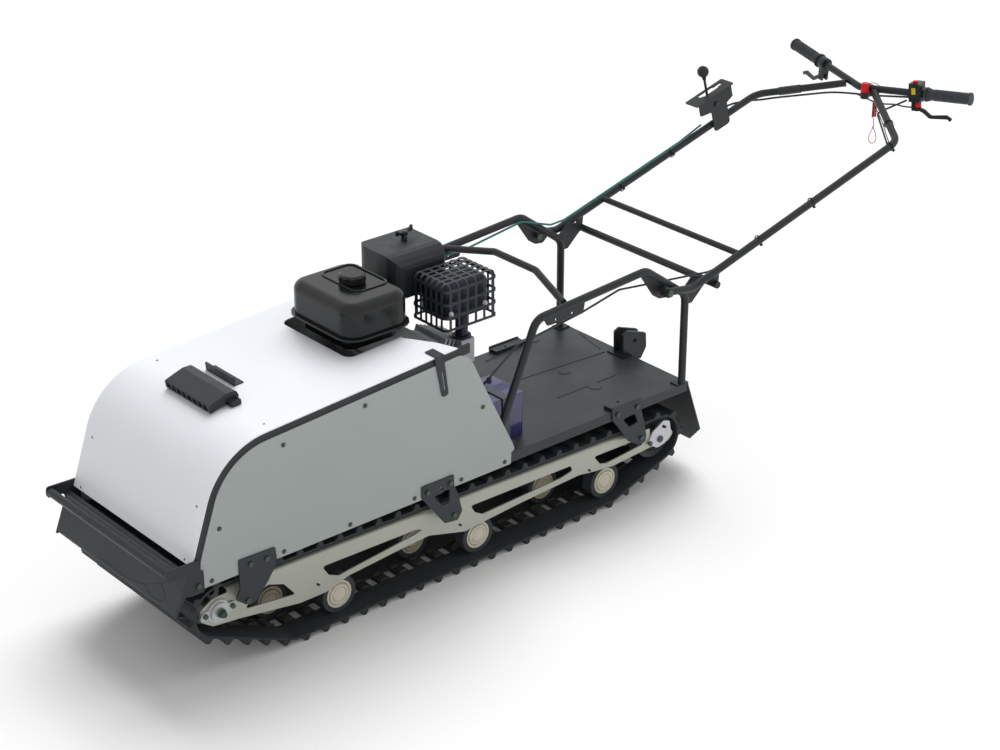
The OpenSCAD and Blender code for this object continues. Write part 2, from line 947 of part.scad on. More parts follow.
module filter_box() {
  color([0.28, 0.3, 0.31]) {
    intersection() {
      translate([316, -175, 704])
        linear_extrude(116)
          outline([[0, 0, 12], [175, 0, 34], [175, 165, 34], [0, 165, 12]]);
      translate([300, 0, 0])
        rotate([90, 0, 90])
          linear_extrude(220)
            outline([[-176, 700, 0], [-9, 700, 0], [-9, 820, 42], [-176, 820, 8]]);
    }
    translate([330, -160, 690])
      cube([150, 120, 16]);
    translate([444, -90, base_top + 160 + 2 * seat_gap])
      cube([36, 44, 90]);
    translate([376, -115, 819]) {
      cylinder(d = 16, h = 8);
      rotate([0, 0, 65])
        translate([-22, -3, 3])
          cube([44, 6, 12]);
    }
  }
}

guard = [[262, -8, 648], [440, 134, 778]];
module muffler() {
  color([0.15, 0.15, 0.2]) {
    translate([guard[0][0] + 12, 4, 672])
      soft_box([154, 118, 92], 28, 18);
    translate([352, 92, 600 + seat_gap]) {
      cylinder(d = 34, h = 80);
      cylinder(d = 50, h = 6);
    }
  }
}

guard_bend = 14;
module guard_shell(size) {
  difference() {
    translate(guard[0])
      soft_box(size, guard_bend, guard_bend);
    translate(guard[0] + [2, 2, -1])
      soft_box(size - [4, 4, 1], guard_bend - 2, guard_bend - 2);
  }
}

module muffler_guard() {
  size = guard[1] - guard[0];
  step = (size - [2, 2, 0] * guard_bend - [1, 1, 0] * strip_w) / 5;
  color([0.2, 0.22, 0.24]) {
    intersection() {
      guard_shell(size);
      translate(guard[0])
        union() {
          for (k = [0 : 5]) {
            translate([guard_bend + k * step[0], -1, -1])
              cube([strip_w, size[1] + 2, size[2] + 2]);
            translate([-1, guard_bend + k * step[1], -1])
              cube([size[0] + 2, strip_w, size[2] + 2]);
          }
          for (k = [0 : 3])
            translate([-1, -1, k * (size[2] - strip_w) / 3.4])
              cube([size[0] + 2, size[1] + 2, strip_w]);
        }
    }
    for (y = [48, 76])
      translate([guard[0][0] + 1, y, 684])
        cube([10.8, 12, 18]);
  }
}

module battery() {
  color([0.24, 0.24, 0.5]) {
    translate([226, 60, deck_z + seat_gap])
      soft_box([130, 138, 128], 6, 3);
    for (x = [250, 330])
      translate([x, 84, deck_z + 126])
        cylinder(d = 14, h = 12);
  }
}

module battery_strap() {
  color([0.34, 0.36, 0.37]) {
    translate([276, 56, deck_z + 128 + 2 * seat_gap])
      cube([26, 146, 3]);
    for (y = [56, 199])
      translate([276, y, deck_z + seat_gap])
        cube([26, 3, 130]);
    for (y = [36, 199])
      translate([276, y, deck_z + seat_gap])
        cube([26, 23, 4]);
  }
}

light_z = 651;
module light_housing() {
  color([0.18, 0.2, 0.21]) {
    difference() {
      plate(-96, 192)
        outline([[1059, light_z, 6], [1071, light_z + 22, 10], [1099, light_z + 22, 12],
          [1153, light_z + 4, 4], [1149, light_z - 18, 3], [1095, light_z, 3]]);
      for (k = [0 : 7])
        translate([1141, -90 + k * 23, light_z - 12])
          cube([40, 19, 14]);
    }
    on_hood(1081)
      for (s = [-1, 1])
        translate([-14, s * 98 - 14, seat_gap])
          cube([28, 28, 14]);
    on_hood(1014) {
      translate([-14, -100, seat_gap])
        cube([28, 125, 3]);
      translate([10, -100, seat_gap])
        cube([4, 125, 22]);
    }
  }
}

module light_lens() {
  color([0.75, 0.78, 0.8])
    for (k = [0 : 7])
      translate([1141.2, -89.8 + k * 23, light_z - 11.8])
        cube([3, 18.6, 13.6]);
}

module hood_strap() {
  plate(panel_out + seat_gap, 3)
    difference() {
      outline([[588, 664, 4], [587, 674, 0], [561, 675.8, 2], [546, 560, 6], [566, 556, 6]]);
      translate([561, 600])
        rotate(-8)
          square([6, 56], center = true);
    }
  on_hood(560)
    translate([0, 228, seat_gap])
      cube([26, panel_out - 225, 3]);
}

module hood_straps() {
  color([0.24, 0.27, 0.29])
    both_sides()
      hood_strap();
}

tube_foot = [392, side_y, deck_z + 4];
tube_knee = [235, side_y, 670];
tube_top = [-160, side_y, 697];
tube_post = [-316, side_y, 584];
post_foot = [-316, side_y, deck_z + 4];
module side_tube() {
  difference() {
    bent_rod([tube_foot, tube_knee, tube_top, tube_post, post_foot], tube_d, 44);
    translate([tube_foot[0] - 40, side_y - 20, deck_z - 30])
      cube([80, 40, 30 + seat_gap]);
  }
  translate([tube_foot[0] - 26, side_y - 24, deck_z + seat_gap])
    cube([52, 34, 4]);
  translate([post_foot[0] - 18, side_y - 24, deck_z + seat_gap])
    cube([40, 34, 4]);
  difference() {
    union() {
      plate(side_y - 2, 4)
        outline([[-138, 690, 2], [-160, 692, 10], [-262, 612, 4], [-244, 596, 14],
          [-214, 600, 12], [-190, 616, 10]]);
      plate(side_y - 2, 4)
        outline([[-300, 596, 2], [-340, 632, 6], [-394, 618, 8], [-397, 600, 3],
          [-380, 586, 4], [-342, 552, 6], [-306, 552, 2]]);
      plate(side_y - 2, 4)
        outline([[208, 660, 4], [196, 640, 8], [70, 640, 6], [62, 682, 4], [180, 676, 2]]);
    }
    cross_rod(hinge[0], hinge[1], 200, 320, bolt_d + 2 * run_gap);
    for (p = [[166, 650], [141, 651], [109, 652]])
      cross_rod(p[0], p[1], 200, 320, 8);
  }
}

module side_tube_left() {
  color([0.18, 0.2, 0.21])
    side_tube();
}

module side_tube_right() {
  color([0.18, 0.2, 0.21])
    mirror([0, 1, 0])
      side_tube();
}

module frame_hoop() {
  reach = side_y - tube_d / 2 - seat_gap;
  color([0.18, 0.2, 0.21])
    intersection() {
      bent_rod([[131, -side_y, 680], [86, -84.5, 712], [86, 84.5, 712], [131, side_y, 680]],
        tube_d - 2, 40);
      translate([0, -reach, 600])
        cube([300, 2 * reach, 200]);
    }
}

module rear_flap() {
  color([0.2, 0.22, 0.23])
    translate([-338 - seat_gap, 0, deck_z - 6])
      rotate([0, 19.5, 0])
        rotate([0, -90, 0])
          linear_extrude(sheet_t)
            outline([[0, -deck_y, 2], [0, deck_y, 2], [-176, deck_y, 8], [-240, 199, 10],
              [-240, -199, 10], [-176, -deck_y, 8]]);
}

hitch_pin = [-357, 346];
module hitch_bracket() {
  color([0.16, 0.17, 0.18]) {
    difference() {
      union() {
        for (y = [-21, 13])
          plate(y, 8)
            outline([[-314, deck_z + seat_gap, 0], [-312, 376, 6], [-330, 384, 8],
              [-403, 358, 8], [-405, 312, 8], [-385, 281, 8], [-363, 283, 6],
              [-346, deck_z + seat_gap, 0]]);
        translate([-336, -34, deck_z + seat_gap])
          cube([36, 68, 4]);
      }
      cross_rod(hitch_pin[0], hitch_pin[1], -40, 40, 14);
    }
    difference() {
      cross_rod(-374, 297, -14, 14, 26);
      cross_rod(-374, 297, -20, 20, 12);
    }
  }
}

module screw_head(x, z, y) {
  translate([x, y, z])
    rotate([-90, 0, 0]) {
      cylinder(d = 12, h = 1.5);
      translate([0, 0, 1.5])
        cylinder(d1 = 9, d2 = 7, h = 2.5);
    }
}

module panel_screws() {
  color([0.45, 0.5, 0.45])
    both_sides()
      for (p = panel_holes) {
        screw_head(p[0], p[1], panel_out + seat_gap / 2);
        cross_rod(p[0], p[1], panel_in, panel_out + 1, 6);
      }
}

module hex_bolt(x, z, y, len_b, d) {
  translate([x, y, z])
    rotate([-90, 0, 0])
      cylinder(d = d * 1.7, h = d * 0.55, $fn = 6);
  cross_rod(x, z, y - len_b, y + 1, d);
}

module frame_bolts() {
  color([0.42, 0.47, 0.42])
    both_sides() {
      for (p = [[1174, 303], [1126, 300], [621, 302], [545, 302]])
        hex_bolt(p[0], p[1], bracket_out + seat_gap, 4, bolt_d - 3.4);
      for (p = [[1187, 205], [533, 204]])
        hex_bolt(p[0], p[1], bracket_out + seat_gap, 24, bolt_d - 3.4);
      hex_bolt(1325, 300, bracket_out + seat_gap, 4, bolt_d - 3.4);
      hex_bolt(-157, 192, body_y + bracket_t + 2 * seat_gap, 14, bolt_d - 3.4);
      for (x = [-63, -137])
        hex_bolt(x, 296, body_y + bracket_t + 2 * seat_gap, 4, bolt_d - 3.4);
      for (s = [-1, 1])
        hex_bolt(drive_x + s * 40, drive_z, rail_y + 6.4 + seat_gap, 6, 8.6);
      hex_bolt(-206, 152, rail_y + 5.4 + seat_gap, 5, 8.6);
      cross_rod(hinge[0], hinge[1], side_y - 9.8, handle_y + tube_d / 2 + 3, bolt_d);
      translate([hinge[0], side_y - 10, hinge[1]])
        rotate([90, 0, 0])
          cylinder(d = bolt_d + 9, h = 8, $fn = 6);
      translate([hinge[0], handle_y + tube_d / 2 + 1, hinge[1]])
        rotate([-90, 0, 0])
          cylinder(d = bolt_d + 9, h = 7, $fn = 6);
    }
}

low = [-318, handle_y, 608];
high = [-1150, 282, 840];
crown = [-1304, 56, 900];
module handle_frame() {
  color([0.18, 0.2, 0.21]) {
    difference() {
      union() {
        both_sides() {
          bent_rod([[hinge[0], handle_y, hinge[1]], low, high, crown], tube_d, 60);
          cross_rod(hinge[0], hinge[1], handle_y - 10.5, handle_y + tube_d / 2, tube_d + 5);
        }
        cross_rod(-409, 596, -handle_y - 12, handle_y + 12, tube_d - 1);
        cross_rod(-503, 660, -handle_y, handle_y, tube_d - 4);
      }
      for (s = [-1, 1])
        translate([hinge[0], s * handle_y, hinge[1]])
          cross_rod(0, 0, -40, 40, bolt_d + 2 * run_gap);
      for (s = [-1, 1])
        straight(bar_end(s), bar_mid, tube_d + 2 * seat_gap);
    }
    both_sides()
      plate(handle_y - 2, 4)
        outline([[-396, 628, 2], [-424, 634, 2], [-420, 590, 6], [-398, 590, 6]]);
  }
}
bar_mid = [-1306, 0, 900];
bar_grip = [-1394.1, 346, 933];
function bar_end(s) = side_of(bar_grip, s);
bar_len = norm(bar_grip - bar_mid);

module handlebar() {
  color([0.18, 0.2, 0.21])
    bent_rod([bar_end(-1), bar_mid, bar_end(1)], tube_d, 60);
}

// places children on one bar arm, t mm from its tip, +Z towards the tip
module on_arm(s, t) {
  v = bar_end(s) - bar_mid;
  translate(bar_mid + unit(v) * (bar_len - t))
    rotate([0, acos(v[2] / norm(v)), atan2(v[1], v[0])])
      children();
}

module grips() {
  color([0.2, 0.21, 0.22])
    for (s = [-1, 1])
      on_arm(s, grip_l - 4)
        difference() {
          union() {
            cylinder(d = grip_d, h = grip_l);
            cylinder(d = grip_d + 10, h = 5);
            translate([0, 0, 9])
              cylinder(d = grip_d + 5, h = 4);
            translate([0, 0, grip_l - 6])
              cylinder(d = grip_d + 5, h = 6);
          }
          translate([0, 0, -1])
            cylinder(d = tube_d + 2 * seat_gap, h = grip_l - 3 + seat_gap);
        }
}

kill_at = [-1288, 34, 899];
module switch_block() {
  color([0.14, 0.15, 0.16]) {
    on_arm(1, grip_l + 46)
      difference() {
        union() {
          cylinder(d = 46, h = 40);
          translate([-34, -22, 2])
            cube([56, 44, 34]);
          translate([10, -12, 6])
            cube([42, 24, 22]);
        }
        translate([0, 0, -1])
          cylinder(d = tube_d + 2 * seat_gap, h = 60);
        translate([40, 0, 17])
          cube([26, 10, 40], center = true);
        translate([44, 20, 17])
          rotate([90, 0, 0])
            cylinder(d = 6 + 2 * run_gap, h = 40);
      }
    difference() {
      union() {
        on_arm(1, bar_len - 28)
          cylinder(d = 25.6, h = 12);
        translate(kill_at - [0, 0, 20 + seat_gap])
          cylinder(d = 26, h = 20);
        translate(kill_at - [24, 5, 19])
          cube([24, 10, 14]);
      }
      straight(bar_mid, bar_end(1), tube_d + 2 * seat_gap);
    }
  }
}

module lever_blade(hub_d, reach) {
  difference() {
    union() {
      rotate([90, 0, 0])
        translate([0, 0, -4])
          cylinder(d = hub_d, h = 8);
      rotate([90, 0, 0])
        translate([0, 0, -3.5])
          linear_extrude(7)
            outline([[-5, 0, 0], [5, 0, 0], [14, 22, 4], [30, 44, 12], [26, reach - 8, 6],
              [34, reach, 3], [24, reach + 6, 4], [14, reach - 12, 6], [20, 48, 12], [4, 28, 4]]);
    }
    rotate([90, 0, 0])
      translate([0, 0, -10])
        cylinder(d = 6 + 2 * run_gap, h = 20);
  }
}

module brake_lever() {
  color([0.18, 0.19, 0.2])
    on_arm(1, grip_l + 46)
      translate([44, 0, 17])
        lever_blade(8.4, 110);
}

module throttle_perch() {
  color([0.14, 0.15, 0.16])
    on_arm(-1, grip_l + 30)
      difference() {
        union() {
          cylinder(d = 40, h = 24);
          translate([8, -12, 2])
            cube([44, 24, 20]);
        }
        translate([0, 0, -1])
          cylinder(d = tube_d + 2 * seat_gap, h = 60);
        translate([42, 0, 12])
          cube([26, 10, 40], center = true);
        translate([44, 20, 12])
          rotate([90, 0, 0])
            cylinder(d = 6 + 2 * run_gap, h = 40);
      }
}

module throttle_lever() {
  color([0.18, 0.19, 0.2])
    on_arm(-1, grip_l + 30)
      translate([44, 0, 12])
        lever_blade(8.4, 100);
}

gate_at = [-948, -282, 884];
module shift_frame() {
  translate(gate_at)
    rotate([0, 15.6, 0])
      children();
}

module shift_gate() {
  color([0.18, 0.2, 0.21]) {
    shift_frame() {
      difference() {
        translate([-80, -32, 0])
          linear_extrude(4)
            outline([[0, 0, 4], [160, 0, 4], [160, 52, 4], [0, 52, 4]]);
        translate([-60, -24, -1])
          linear_extrude(6)
            outline([[0, 4, 3], [30, 4, 3], [30, 0, 3], [96, 0, 3], [96, 14, 3], [84, 18, 3],
              [84, 20, 0], [24, 20, 3], [20, 16, 3], [0, 16, 3]]);
      }
      difference() {
        plate(14.3, 4)
          outline([[-70, 1, 0], [-70, -37, 4], [-42, -46, 4], [-42, -116, 10], [24, -116, 10],
            [24, -46, 4], [70, -37, 4], [70, 1, 0]]);
        translate([0, 20, -30])
          rotate([90, 0, 0])
            cylinder(d = 12 + 2 * run_gap, h = 40);
      }
      for (x = [-36, -4])
        translate([x, 11.9, -106])
          cube([22, 3, 18]);
    }
  }
}

module shift_lever() {
  color([0.15, 0.16, 0.17])
    shift_frame() {
      translate([0, 22, -30])
        rotate([90, 0, 0])
          cylinder(d = 12, h = 38);
      translate([0, 22.5, -30])
        rotate([90, 0, 0])
          cylinder(d = 18, h = 4);
      translate([0, -12.5, -30])
        rotate([90, 0, 0])
          cylinder(d = 24, h = 11);
      translate([0, -18, -30]) {
        cylinder(d = 8, h = 90);
        translate([0, 0, 104])
          scale(knob_d / 36)
            rotate_extrude()
              polygon([
                [0, -28], [5, -28], [8, -16], [13.5, -12], [17, -6], [18, 0], [17, 6],
                [13.5, 12], [8, 16], [4, 18], [0, 18]
              ]);
      }
    }
}

module kill_cap() {
  color([0.8, 0.1, 0.13])
    translate(kill_at) {
      cylinder(d1 = 25, d2 = 23, h = 22);
      translate([0, 0, 22])
        cylinder(d1 = 23, d2 = 18, h = 6);
      rotate([0, 0, 151])
        translate([0, -4, 22])
          cube([14, 8, 4]);
    }
}

curls = 16;
curl_r = (curl_d - cord_d) / 2;
coil_top = [-1320, 50, 867];
coil_end = coil_top[2] - curls * curl_rise;
loop_z = 754;
loop_h = 23.5;
loop_w = 13.4;
loop_dir = [-0.757, 0.653, 0];
function curl_point(k) =
  let (a = k * 360 / 8)
  coil_top + [curl_r * cos(a), curl_r * sin(a), -k * curl_rise / 8];
function loop_point(a) =
  [coil_top[0], coil_top[1], loop_z + loop_h * cos(a)]
  + loop_dir * (loop_w * sin(a) * sin(a / 2) + 1.5 * cos(a / 2));
cord_points = concat(
  [[-1300.5, 40.9, 923], [-1309, 43.5, 924], [-1318, 45, 922.5], [-1328, 47, 918],
   [-1336, 48.5, 910], [-1339, 50, 899], [-1336, 50, 887], [-1329, 50, 877.5],
   [-1320.5, 50, 872.5], coil_top + [curl_r * 0.72, -1, 2.6]],
  [for (k = [0 : curls * 8]) curl_point(k)],
  [[coil_top[0] + curl_r * 0.72, 51, coil_end - 2.6], [coil_top[0] + 0.5, 50.2, coil_end - 7],
   [coil_top[0], 50, coil_end - 14], loop_point(0) + [0, 0, 12]],
  [for (k = [0 : 36]) loop_point(k * 10)],
  [loop_point(360) + [0, 0, 8]]
);
cord_count = len(cord_points);
own_gap = min([for (i = [0 : cord_count - 9]) for (j = [i + 7 : cord_count - 1])
  norm(cord_points[i] - cord_points[j])]) - cord_d;
cord_len = [for (i = 0, s = 0; i < cord_count - 1; s = s + norm(cord_points[i + 1] - cord_points[i]),
  i = i + 1) s][cord_count - 2];
echo(cord_own_gap_mm = own_gap, cord_length_mm = cord_len);

module kill_cord() {
  color([0.55, 0.08, 0.1])
    cord_tube(cord_points, cord_d);
}

// a six-sided tube along points, as one closed surface
module cord_tube(p, d) {
  n = len(p);
  function tangent(i) = unit(p[min(n - 1, i + 1)] - p[max(0, i - 1)]);
  function across(i) = unit(cross(tangent(i), [0.02, 0.999, 0.03]));
  rings = [for (i = [0 : n - 1])
    let (u = across(i), w = cross(tangent(i), u))
    for (k = [0 : 5]) p[i] + d / 2 * (cos(k * 60) * u + sin(k * 60) * w)];
  sides = [for (i = [0 : n - 2]) for (k = [0 : 5])
    for (f = [[i * 6 + k, i * 6 + (k + 1) % 6, (i + 1) * 6 + (k + 1) % 6],
              [i * 6 + k, (i + 1) * 6 + (k + 1) % 6, (i + 1) * 6 + k]]) f];
  ends = concat(
    [for (k = [1 : 4]) [0, k + 1, k]],
    [for (k = [1 : 4]) [(n - 1) * 6, (n - 1) * 6 + k, (n - 1) * 6 + k + 1]]
  );
  polyhedron(points = rings, faces = [for (f = concat(sides, ends)) [f[0], f[2], f[1]]]);
}

cable_y = side_y - tube_d / 2 - cable_d / 2 - 0.3;
module gas_cable() {
  y = cable_y;
  color([0.08, 0.09, 0.1])
    bent_rod([
      [425, 113.5, 430], [420, 200, 470], [380, y, 545], [290, y, 606], [60, y, 634],
      [-76, y, 661], [-420, y, 617], [-500, 271, 645], [-1125, 274.5, 820],
      [-1250, 118, 862], [-1338, 156, 892]
    ], cable_d, 24);
}

module shift_cable() {
  y = -cable_y;
  color([0, 0.4, 0.36])
    bent_rod([
      [425, -153.5, 430], [420, -176, 480], [290, -222, 610], [210, y, 662], [60, y, 662],
      [-150, y, 690], [-262, y, 651], [-334, -262, 642], [-800, -262, 772],
      [-893, -265.9, 803]
    ], cable_d, 24);
}

deck();
hood();
panel_left();
panel_right();
edge_seals();
bumper_bar();
skid_plate();
front_brackets();
middle_brackets();
rear_brackets();
rails();
axle_mounts();
suspension_tubes();
engine_base();
engine_block();
variator_cover();
chain_case();
fuel_tank();
filter_box();
muffler();
muffler_guard();
battery();
battery_strap();
light_housing();
light_lens();
hood_straps();
side_tube_left();
side_tube_right();
frame_hoop();
rear_flap();
hitch_bracket();
panel_screws();
frame_bolts();
track_belt();
drive_axle();
rear_idlers();
outer_rims_front();
outer_rims_middle();
outer_rims_rear();
outer_tyres_front();
outer_tyres_middle();
outer_tyres_rear();
inner_wheels_front();
inner_wheels_middle();
inner_wheels_rear();
fuel_cap();
handle_frame();
handlebar();
grips();
switch_block();
shift_gate();
shift_lever();
throttle_perch();
throttle_lever();
brake_lever();
kill_cap();
kill_cord();
gas_cable();
shift_cable();
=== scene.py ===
import math

import bpy
from mathutils import Matrix, Vector


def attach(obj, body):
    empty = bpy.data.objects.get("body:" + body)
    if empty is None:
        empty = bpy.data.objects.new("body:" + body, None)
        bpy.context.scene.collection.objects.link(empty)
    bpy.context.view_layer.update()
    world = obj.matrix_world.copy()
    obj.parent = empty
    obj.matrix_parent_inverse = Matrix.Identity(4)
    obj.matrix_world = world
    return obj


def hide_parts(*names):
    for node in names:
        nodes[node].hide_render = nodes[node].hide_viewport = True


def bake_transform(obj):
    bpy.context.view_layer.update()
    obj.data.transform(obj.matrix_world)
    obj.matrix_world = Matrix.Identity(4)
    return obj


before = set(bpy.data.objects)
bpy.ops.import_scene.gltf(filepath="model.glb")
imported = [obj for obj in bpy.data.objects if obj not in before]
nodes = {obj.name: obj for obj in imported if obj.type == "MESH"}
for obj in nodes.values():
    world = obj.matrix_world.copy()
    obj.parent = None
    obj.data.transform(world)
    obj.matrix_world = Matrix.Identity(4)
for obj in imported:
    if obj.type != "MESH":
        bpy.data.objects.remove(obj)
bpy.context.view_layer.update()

# The studio camera. It stands high on the vehicle's left, ahead of the nose, with a long
# lens, as the photograph was taken.
CAMERA_PLACE = Vector((3.7947, 4.2413, 3.1049))
CAMERA_AZIMUTH = math.radians(139.2401)
CAMERA_ELEVATION = math.radians(25.9133)
CAMERA_ROLL = math.radians(0.0669)
LENS_MM = 81.09
SENSOR_MM = 36
SIGHT_END = 60
back = Vector((
    math.sin(CAMERA_AZIMUTH) * math.cos(CAMERA_ELEVATION),
    -math.cos(CAMERA_AZIMUTH) * math.cos(CAMERA_ELEVATION),
    math.sin(CAMERA_ELEVATION),
))
level_right = Vector((math.cos(CAMERA_AZIMUTH), math.sin(CAMERA_AZIMUTH), 0))
level_up = back.cross(level_right)
right = level_right * math.cos(CAMERA_ROLL) + level_up * math.sin(CAMERA_ROLL)
up = back.cross(right)
camera_data = bpy.data.cameras.new("studio_camera")
camera_data.lens = LENS_MM
camera_data.sensor_width = SENSOR_MM
camera_data.clip_end = SIGHT_END
camera = bpy.data.objects.new("studio_camera", camera_data)
turn = Matrix((right, up, back)).transposed().to_4x4()
camera.matrix_world = Matrix.Translation(CAMERA_PLACE) @ turn
bpy.context.scene.collection.objects.link(camera)
bpy.context.scene.camera = camera


# The kill switch lanyard: a thin red coiled cord with a wrist loop at its end, clipped to
# the red cap that sits on the handlebar. Its route is the one that the solid follows.
CORD_THICK = 0.0024
CURL_WIDTH = 0.015
CURL_RISE = 0.0032
CURLS = 16
COIL_TOP = Vector((-1.320, 0.050, 0.867))
LOOP_HEIGHT = 0.0235
LOOP_WIDTH = 0.0134
LOOP_MIDDLE = 0.754
LOOP_SPLIT = 0.0015
LOOP_ALONG = Vector((-0.757, 0.653, 0))
STEPS_A_CURL = 16
STEPS_A_LOOP = 36
curl_radius = (CURL_WIDTH - CORD_THICK) / 2
curl_lead = curl_radius * 0.72
coil_end = COIL_TOP.z - CURLS * CURL_RISE


def loop_point(angle):
    """A place on the wrist loop, from its knot round and back to it."""
    across = LOOP_WIDTH * math.sin(angle) * math.sin(angle / 2) + LOOP_SPLIT * math.cos(angle / 2)
    rise = LOOP_MIDDLE + LOOP_HEIGHT * math.cos(angle)
    return Vector((COIL_TOP.x, COIL_TOP.y, rise)) + LOOP_ALONG * across


def curl_point(step):
    """A place on the coil, counted down from its top."""
    angle = step * 2 * math.pi / STEPS_A_CURL
    turn_on = Vector((math.cos(angle), math.sin(angle), 0)) * curl_radius
    return COIL_TOP + turn_on - Vector((0, 0, step * CURL_RISE / STEPS_A_CURL))


cord_route = [
    Vector((-1.3005, 0.0409, 0.923)), Vector((-1.309, 0.0435, 0.924)),
    Vector((-1.318, 0.045, 0.9225)), Vector((-1.328, 0.047, 0.918)),
    Vector((-1.336, 0.0485, 0.910)), Vector((-1.339, 0.050, 0.899)),
    Vector((-1.336, 0.050, 0.887)), Vector((-1.329, 0.050, 0.8775)),
    Vector((-1.3205, 0.050, 0.8725)),
    COIL_TOP + Vector((curl_lead, -0.001, 0.0026)),
]
cord_route += [curl_point(step) for step in range(CURLS * STEPS_A_CURL + 1)]
cord_route += [
    Vector((COIL_TOP.x + curl_lead, 0.051, coil_end - 0.0026)),
    Vector((COIL_TOP.x + 0.0005, 0.0502, coil_end - 0.007)),
    Vector((COIL_TOP.x, 0.050, coil_end - 0.014)),
    loop_point(0) + Vector((0, 0, 0.012)),
]
cord_route += [
    loop_point(2 * math.pi * step / STEPS_A_LOOP) for step in range(STEPS_A_LOOP + 1)
]
cord_route += [loop_point(2 * math.pi) + Vector((0, 0, 0.008))]


def round_line(name, points, thick, finish, sides=12):
    """A round bar or cord along points, as one open curve."""
    data = bpy.data.curves.new(name, "CURVE")
    data.dimensions = "3D"
    data.bevel_depth = thick / 2
    data.bevel_resolution = max(1, sides // 4 - 1)
    data.use_fill_caps = True
    line = data.splines.new("POLY")
    line.points.add(len(points) - 1)
    for spot, point in zip(line.points, points):
        spot.co = (*point, 1)
    data.materials.append(finish)
    piece = bpy.data.objects.new(name, data)
    bpy.context.scene.collection.objects.link(piece)
    return piece


class Value:
    """A socket in a material's nodes; sums and products of it add Math nodes."""

    def __init__(self, finish, socket):
        self.finish = finish
        self.socket = socket

    def maths(self, operation, first, second):
        made = self.finish.node("ShaderNodeMath", {"operation": operation}, [first, second])
        return made.out()

    def __add__(self, other):
        return self.maths("ADD", self, other)

    def __radd__(self, other):
        return self.maths("ADD", other, self)

    def __sub__(self, other):
        return self.maths("SUBTRACT", self, other)

    def __rsub__(self, other):
        return self.maths("SUBTRACT", other, self)

    def __mul__(self, other):
        return self.maths("MULTIPLY", self, other)

    def __rmul__(self, other):
        return self.maths("MULTIPLY", other, self)

    def above(self, edge):
        return self.maths("GREATER_THAN", self, edge)

    def power(self, exponent):
        return self.maths("POWER", self, exponent)


class Made:
    """One node of a material, with its outputs by name or number."""

    def __init__(self, finish, node):
        self.finish = finish
        self.node = node

    def out(self, key=0):
        return Value(self.finish, self.node.outputs[key])


class Finish:
    """A procedural material, built on one Principled shader."""

    def __init__(self, name):
        self.material = bpy.data.materials.new(name)
        self.material.use_nodes = True
        self.tree = self.material.node_tree
        self.shader = self.tree.nodes["Principled BSDF"]

    def set_socket(self, socket, value):
        if isinstance(value, Value):
            self.tree.links.new(value.socket, socket)
        elif socket.type == "RGBA":
            socket.default_value = (*value, 1)
        else:
            socket.default_value = value

    def node(self, kind, settings, inputs):
        made = self.tree.nodes.new(kind)
        for key, value in settings.items():
            setattr(made, key, value)
        pairs = inputs.items() if isinstance(inputs, dict) else enumerate(inputs)
        for key, value in pairs:
            self.set_socket(made.inputs[key], value)
        return Made(self, made)

    def place(self, stretch=(1, 1, 1)):
        """Places on the piece, in metres, stretched along each axis."""
        where = self.node("ShaderNodeTexCoord", {}, {}).out("Object")
        return self.node("ShaderNodeMapping", {}, {"Vector": where, "Scale": stretch}).out()

    def noise(self, scale, detail=3, stretch=(1, 1, 1)):
        sockets = {"Vector": self.place(stretch), "Scale": scale, "Detail": detail}
        return self.node("ShaderNodeTexNoise", {}, sockets).out(0)

    def mix(self, low, high, factor):
        """A blend of two colours, at the sockets that Mix keeps for colours."""
        settings = {"data_type": "RGBA"}
        return self.node("ShaderNodeMix", settings, {0: factor, 6: low, 7: high}).out(2)

    def range(self, value, low, high, new_low=0.0, new_high=1.0):
        sockets = [value, low, high, new_low, new_high]
        return self.node("ShaderNodeMapRange", {"clamp": True}, sockets).out()

    def tones(self, colour, dark, light, factor):
        """A colour that wanders between a darker and a lighter tint of itself."""
        return self.mix(tint(colour, dark), tint(colour, light), factor)

    def worn(self, pattern, rough, less, more):
        """Roughness that follows the middle band of a pattern's values."""
        return self.range(pattern, 0.3, 0.7, rough - less, rough + more)

    def mirror(self, share):
        """How strongly the bare surface mirrors what stands round it; half is usual."""
        self.shader.inputs["Specular IOR Level"].default_value = share

    def bump(self, height, strength, depth):
        sockets = {"Height": height, "Strength": strength, "Distance": depth}
        return self.node("ShaderNodeBump", {}, sockets).out()

    def shade(self, **sockets):
        for key, value in sockets.items():
            self.set_socket(self.shader.inputs[key.replace("_", " ").title()], value)
        return self.material


def tint(colour, share):
    """A colour made darker or lighter by a share of itself."""
    return tuple(min(1.0, part * share) for part in colour)


def linear(red, green, blue):
    """A screen colour, 0 to 255, as the linear colour that a shader takes."""
    parts = [part / 255 for part in (red, green, blue)]
    return tuple(p / 12.92 if p <= 0.04045 else ((p + 0.055) / 1.055) ** 2.4 for p in parts)


def cord_finish():
    """Woven red cloth over the cord's core."""
    cloth = Finish("lanyard_red")
    weave = cloth.noise(900, 2)
    colour = cloth.mix(linear(120, 6, 14), linear(196, 14, 28), weave)
    skin = cloth.bump(weave, 0.4, 0.0003)
    return cloth.shade(base_color=colour, roughness=0.62, normal=skin)


def fasten(piece, body):
    """The body that a piece rides on."""
    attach(piece, body)


lanyard = round_line("lanyard", cord_route, CORD_THICK, cord_finish(), 8)
cord_length = sum((b - a).length for a, b in zip(cord_route, cord_route[1:]))
fasten(lanyard, "kill")
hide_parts("kill_cord")


# The two slide rails with their cross tubes and wheel carriers. The rails are pressed light
# alloy sheet, the tubes and carriers are welded steel in a dark powder coat.
RAIL_COLOUR = linear(178, 179, 168)
COAT_COLOUR = linear(44, 48, 52)
SOFT_MIRROR = 0.3


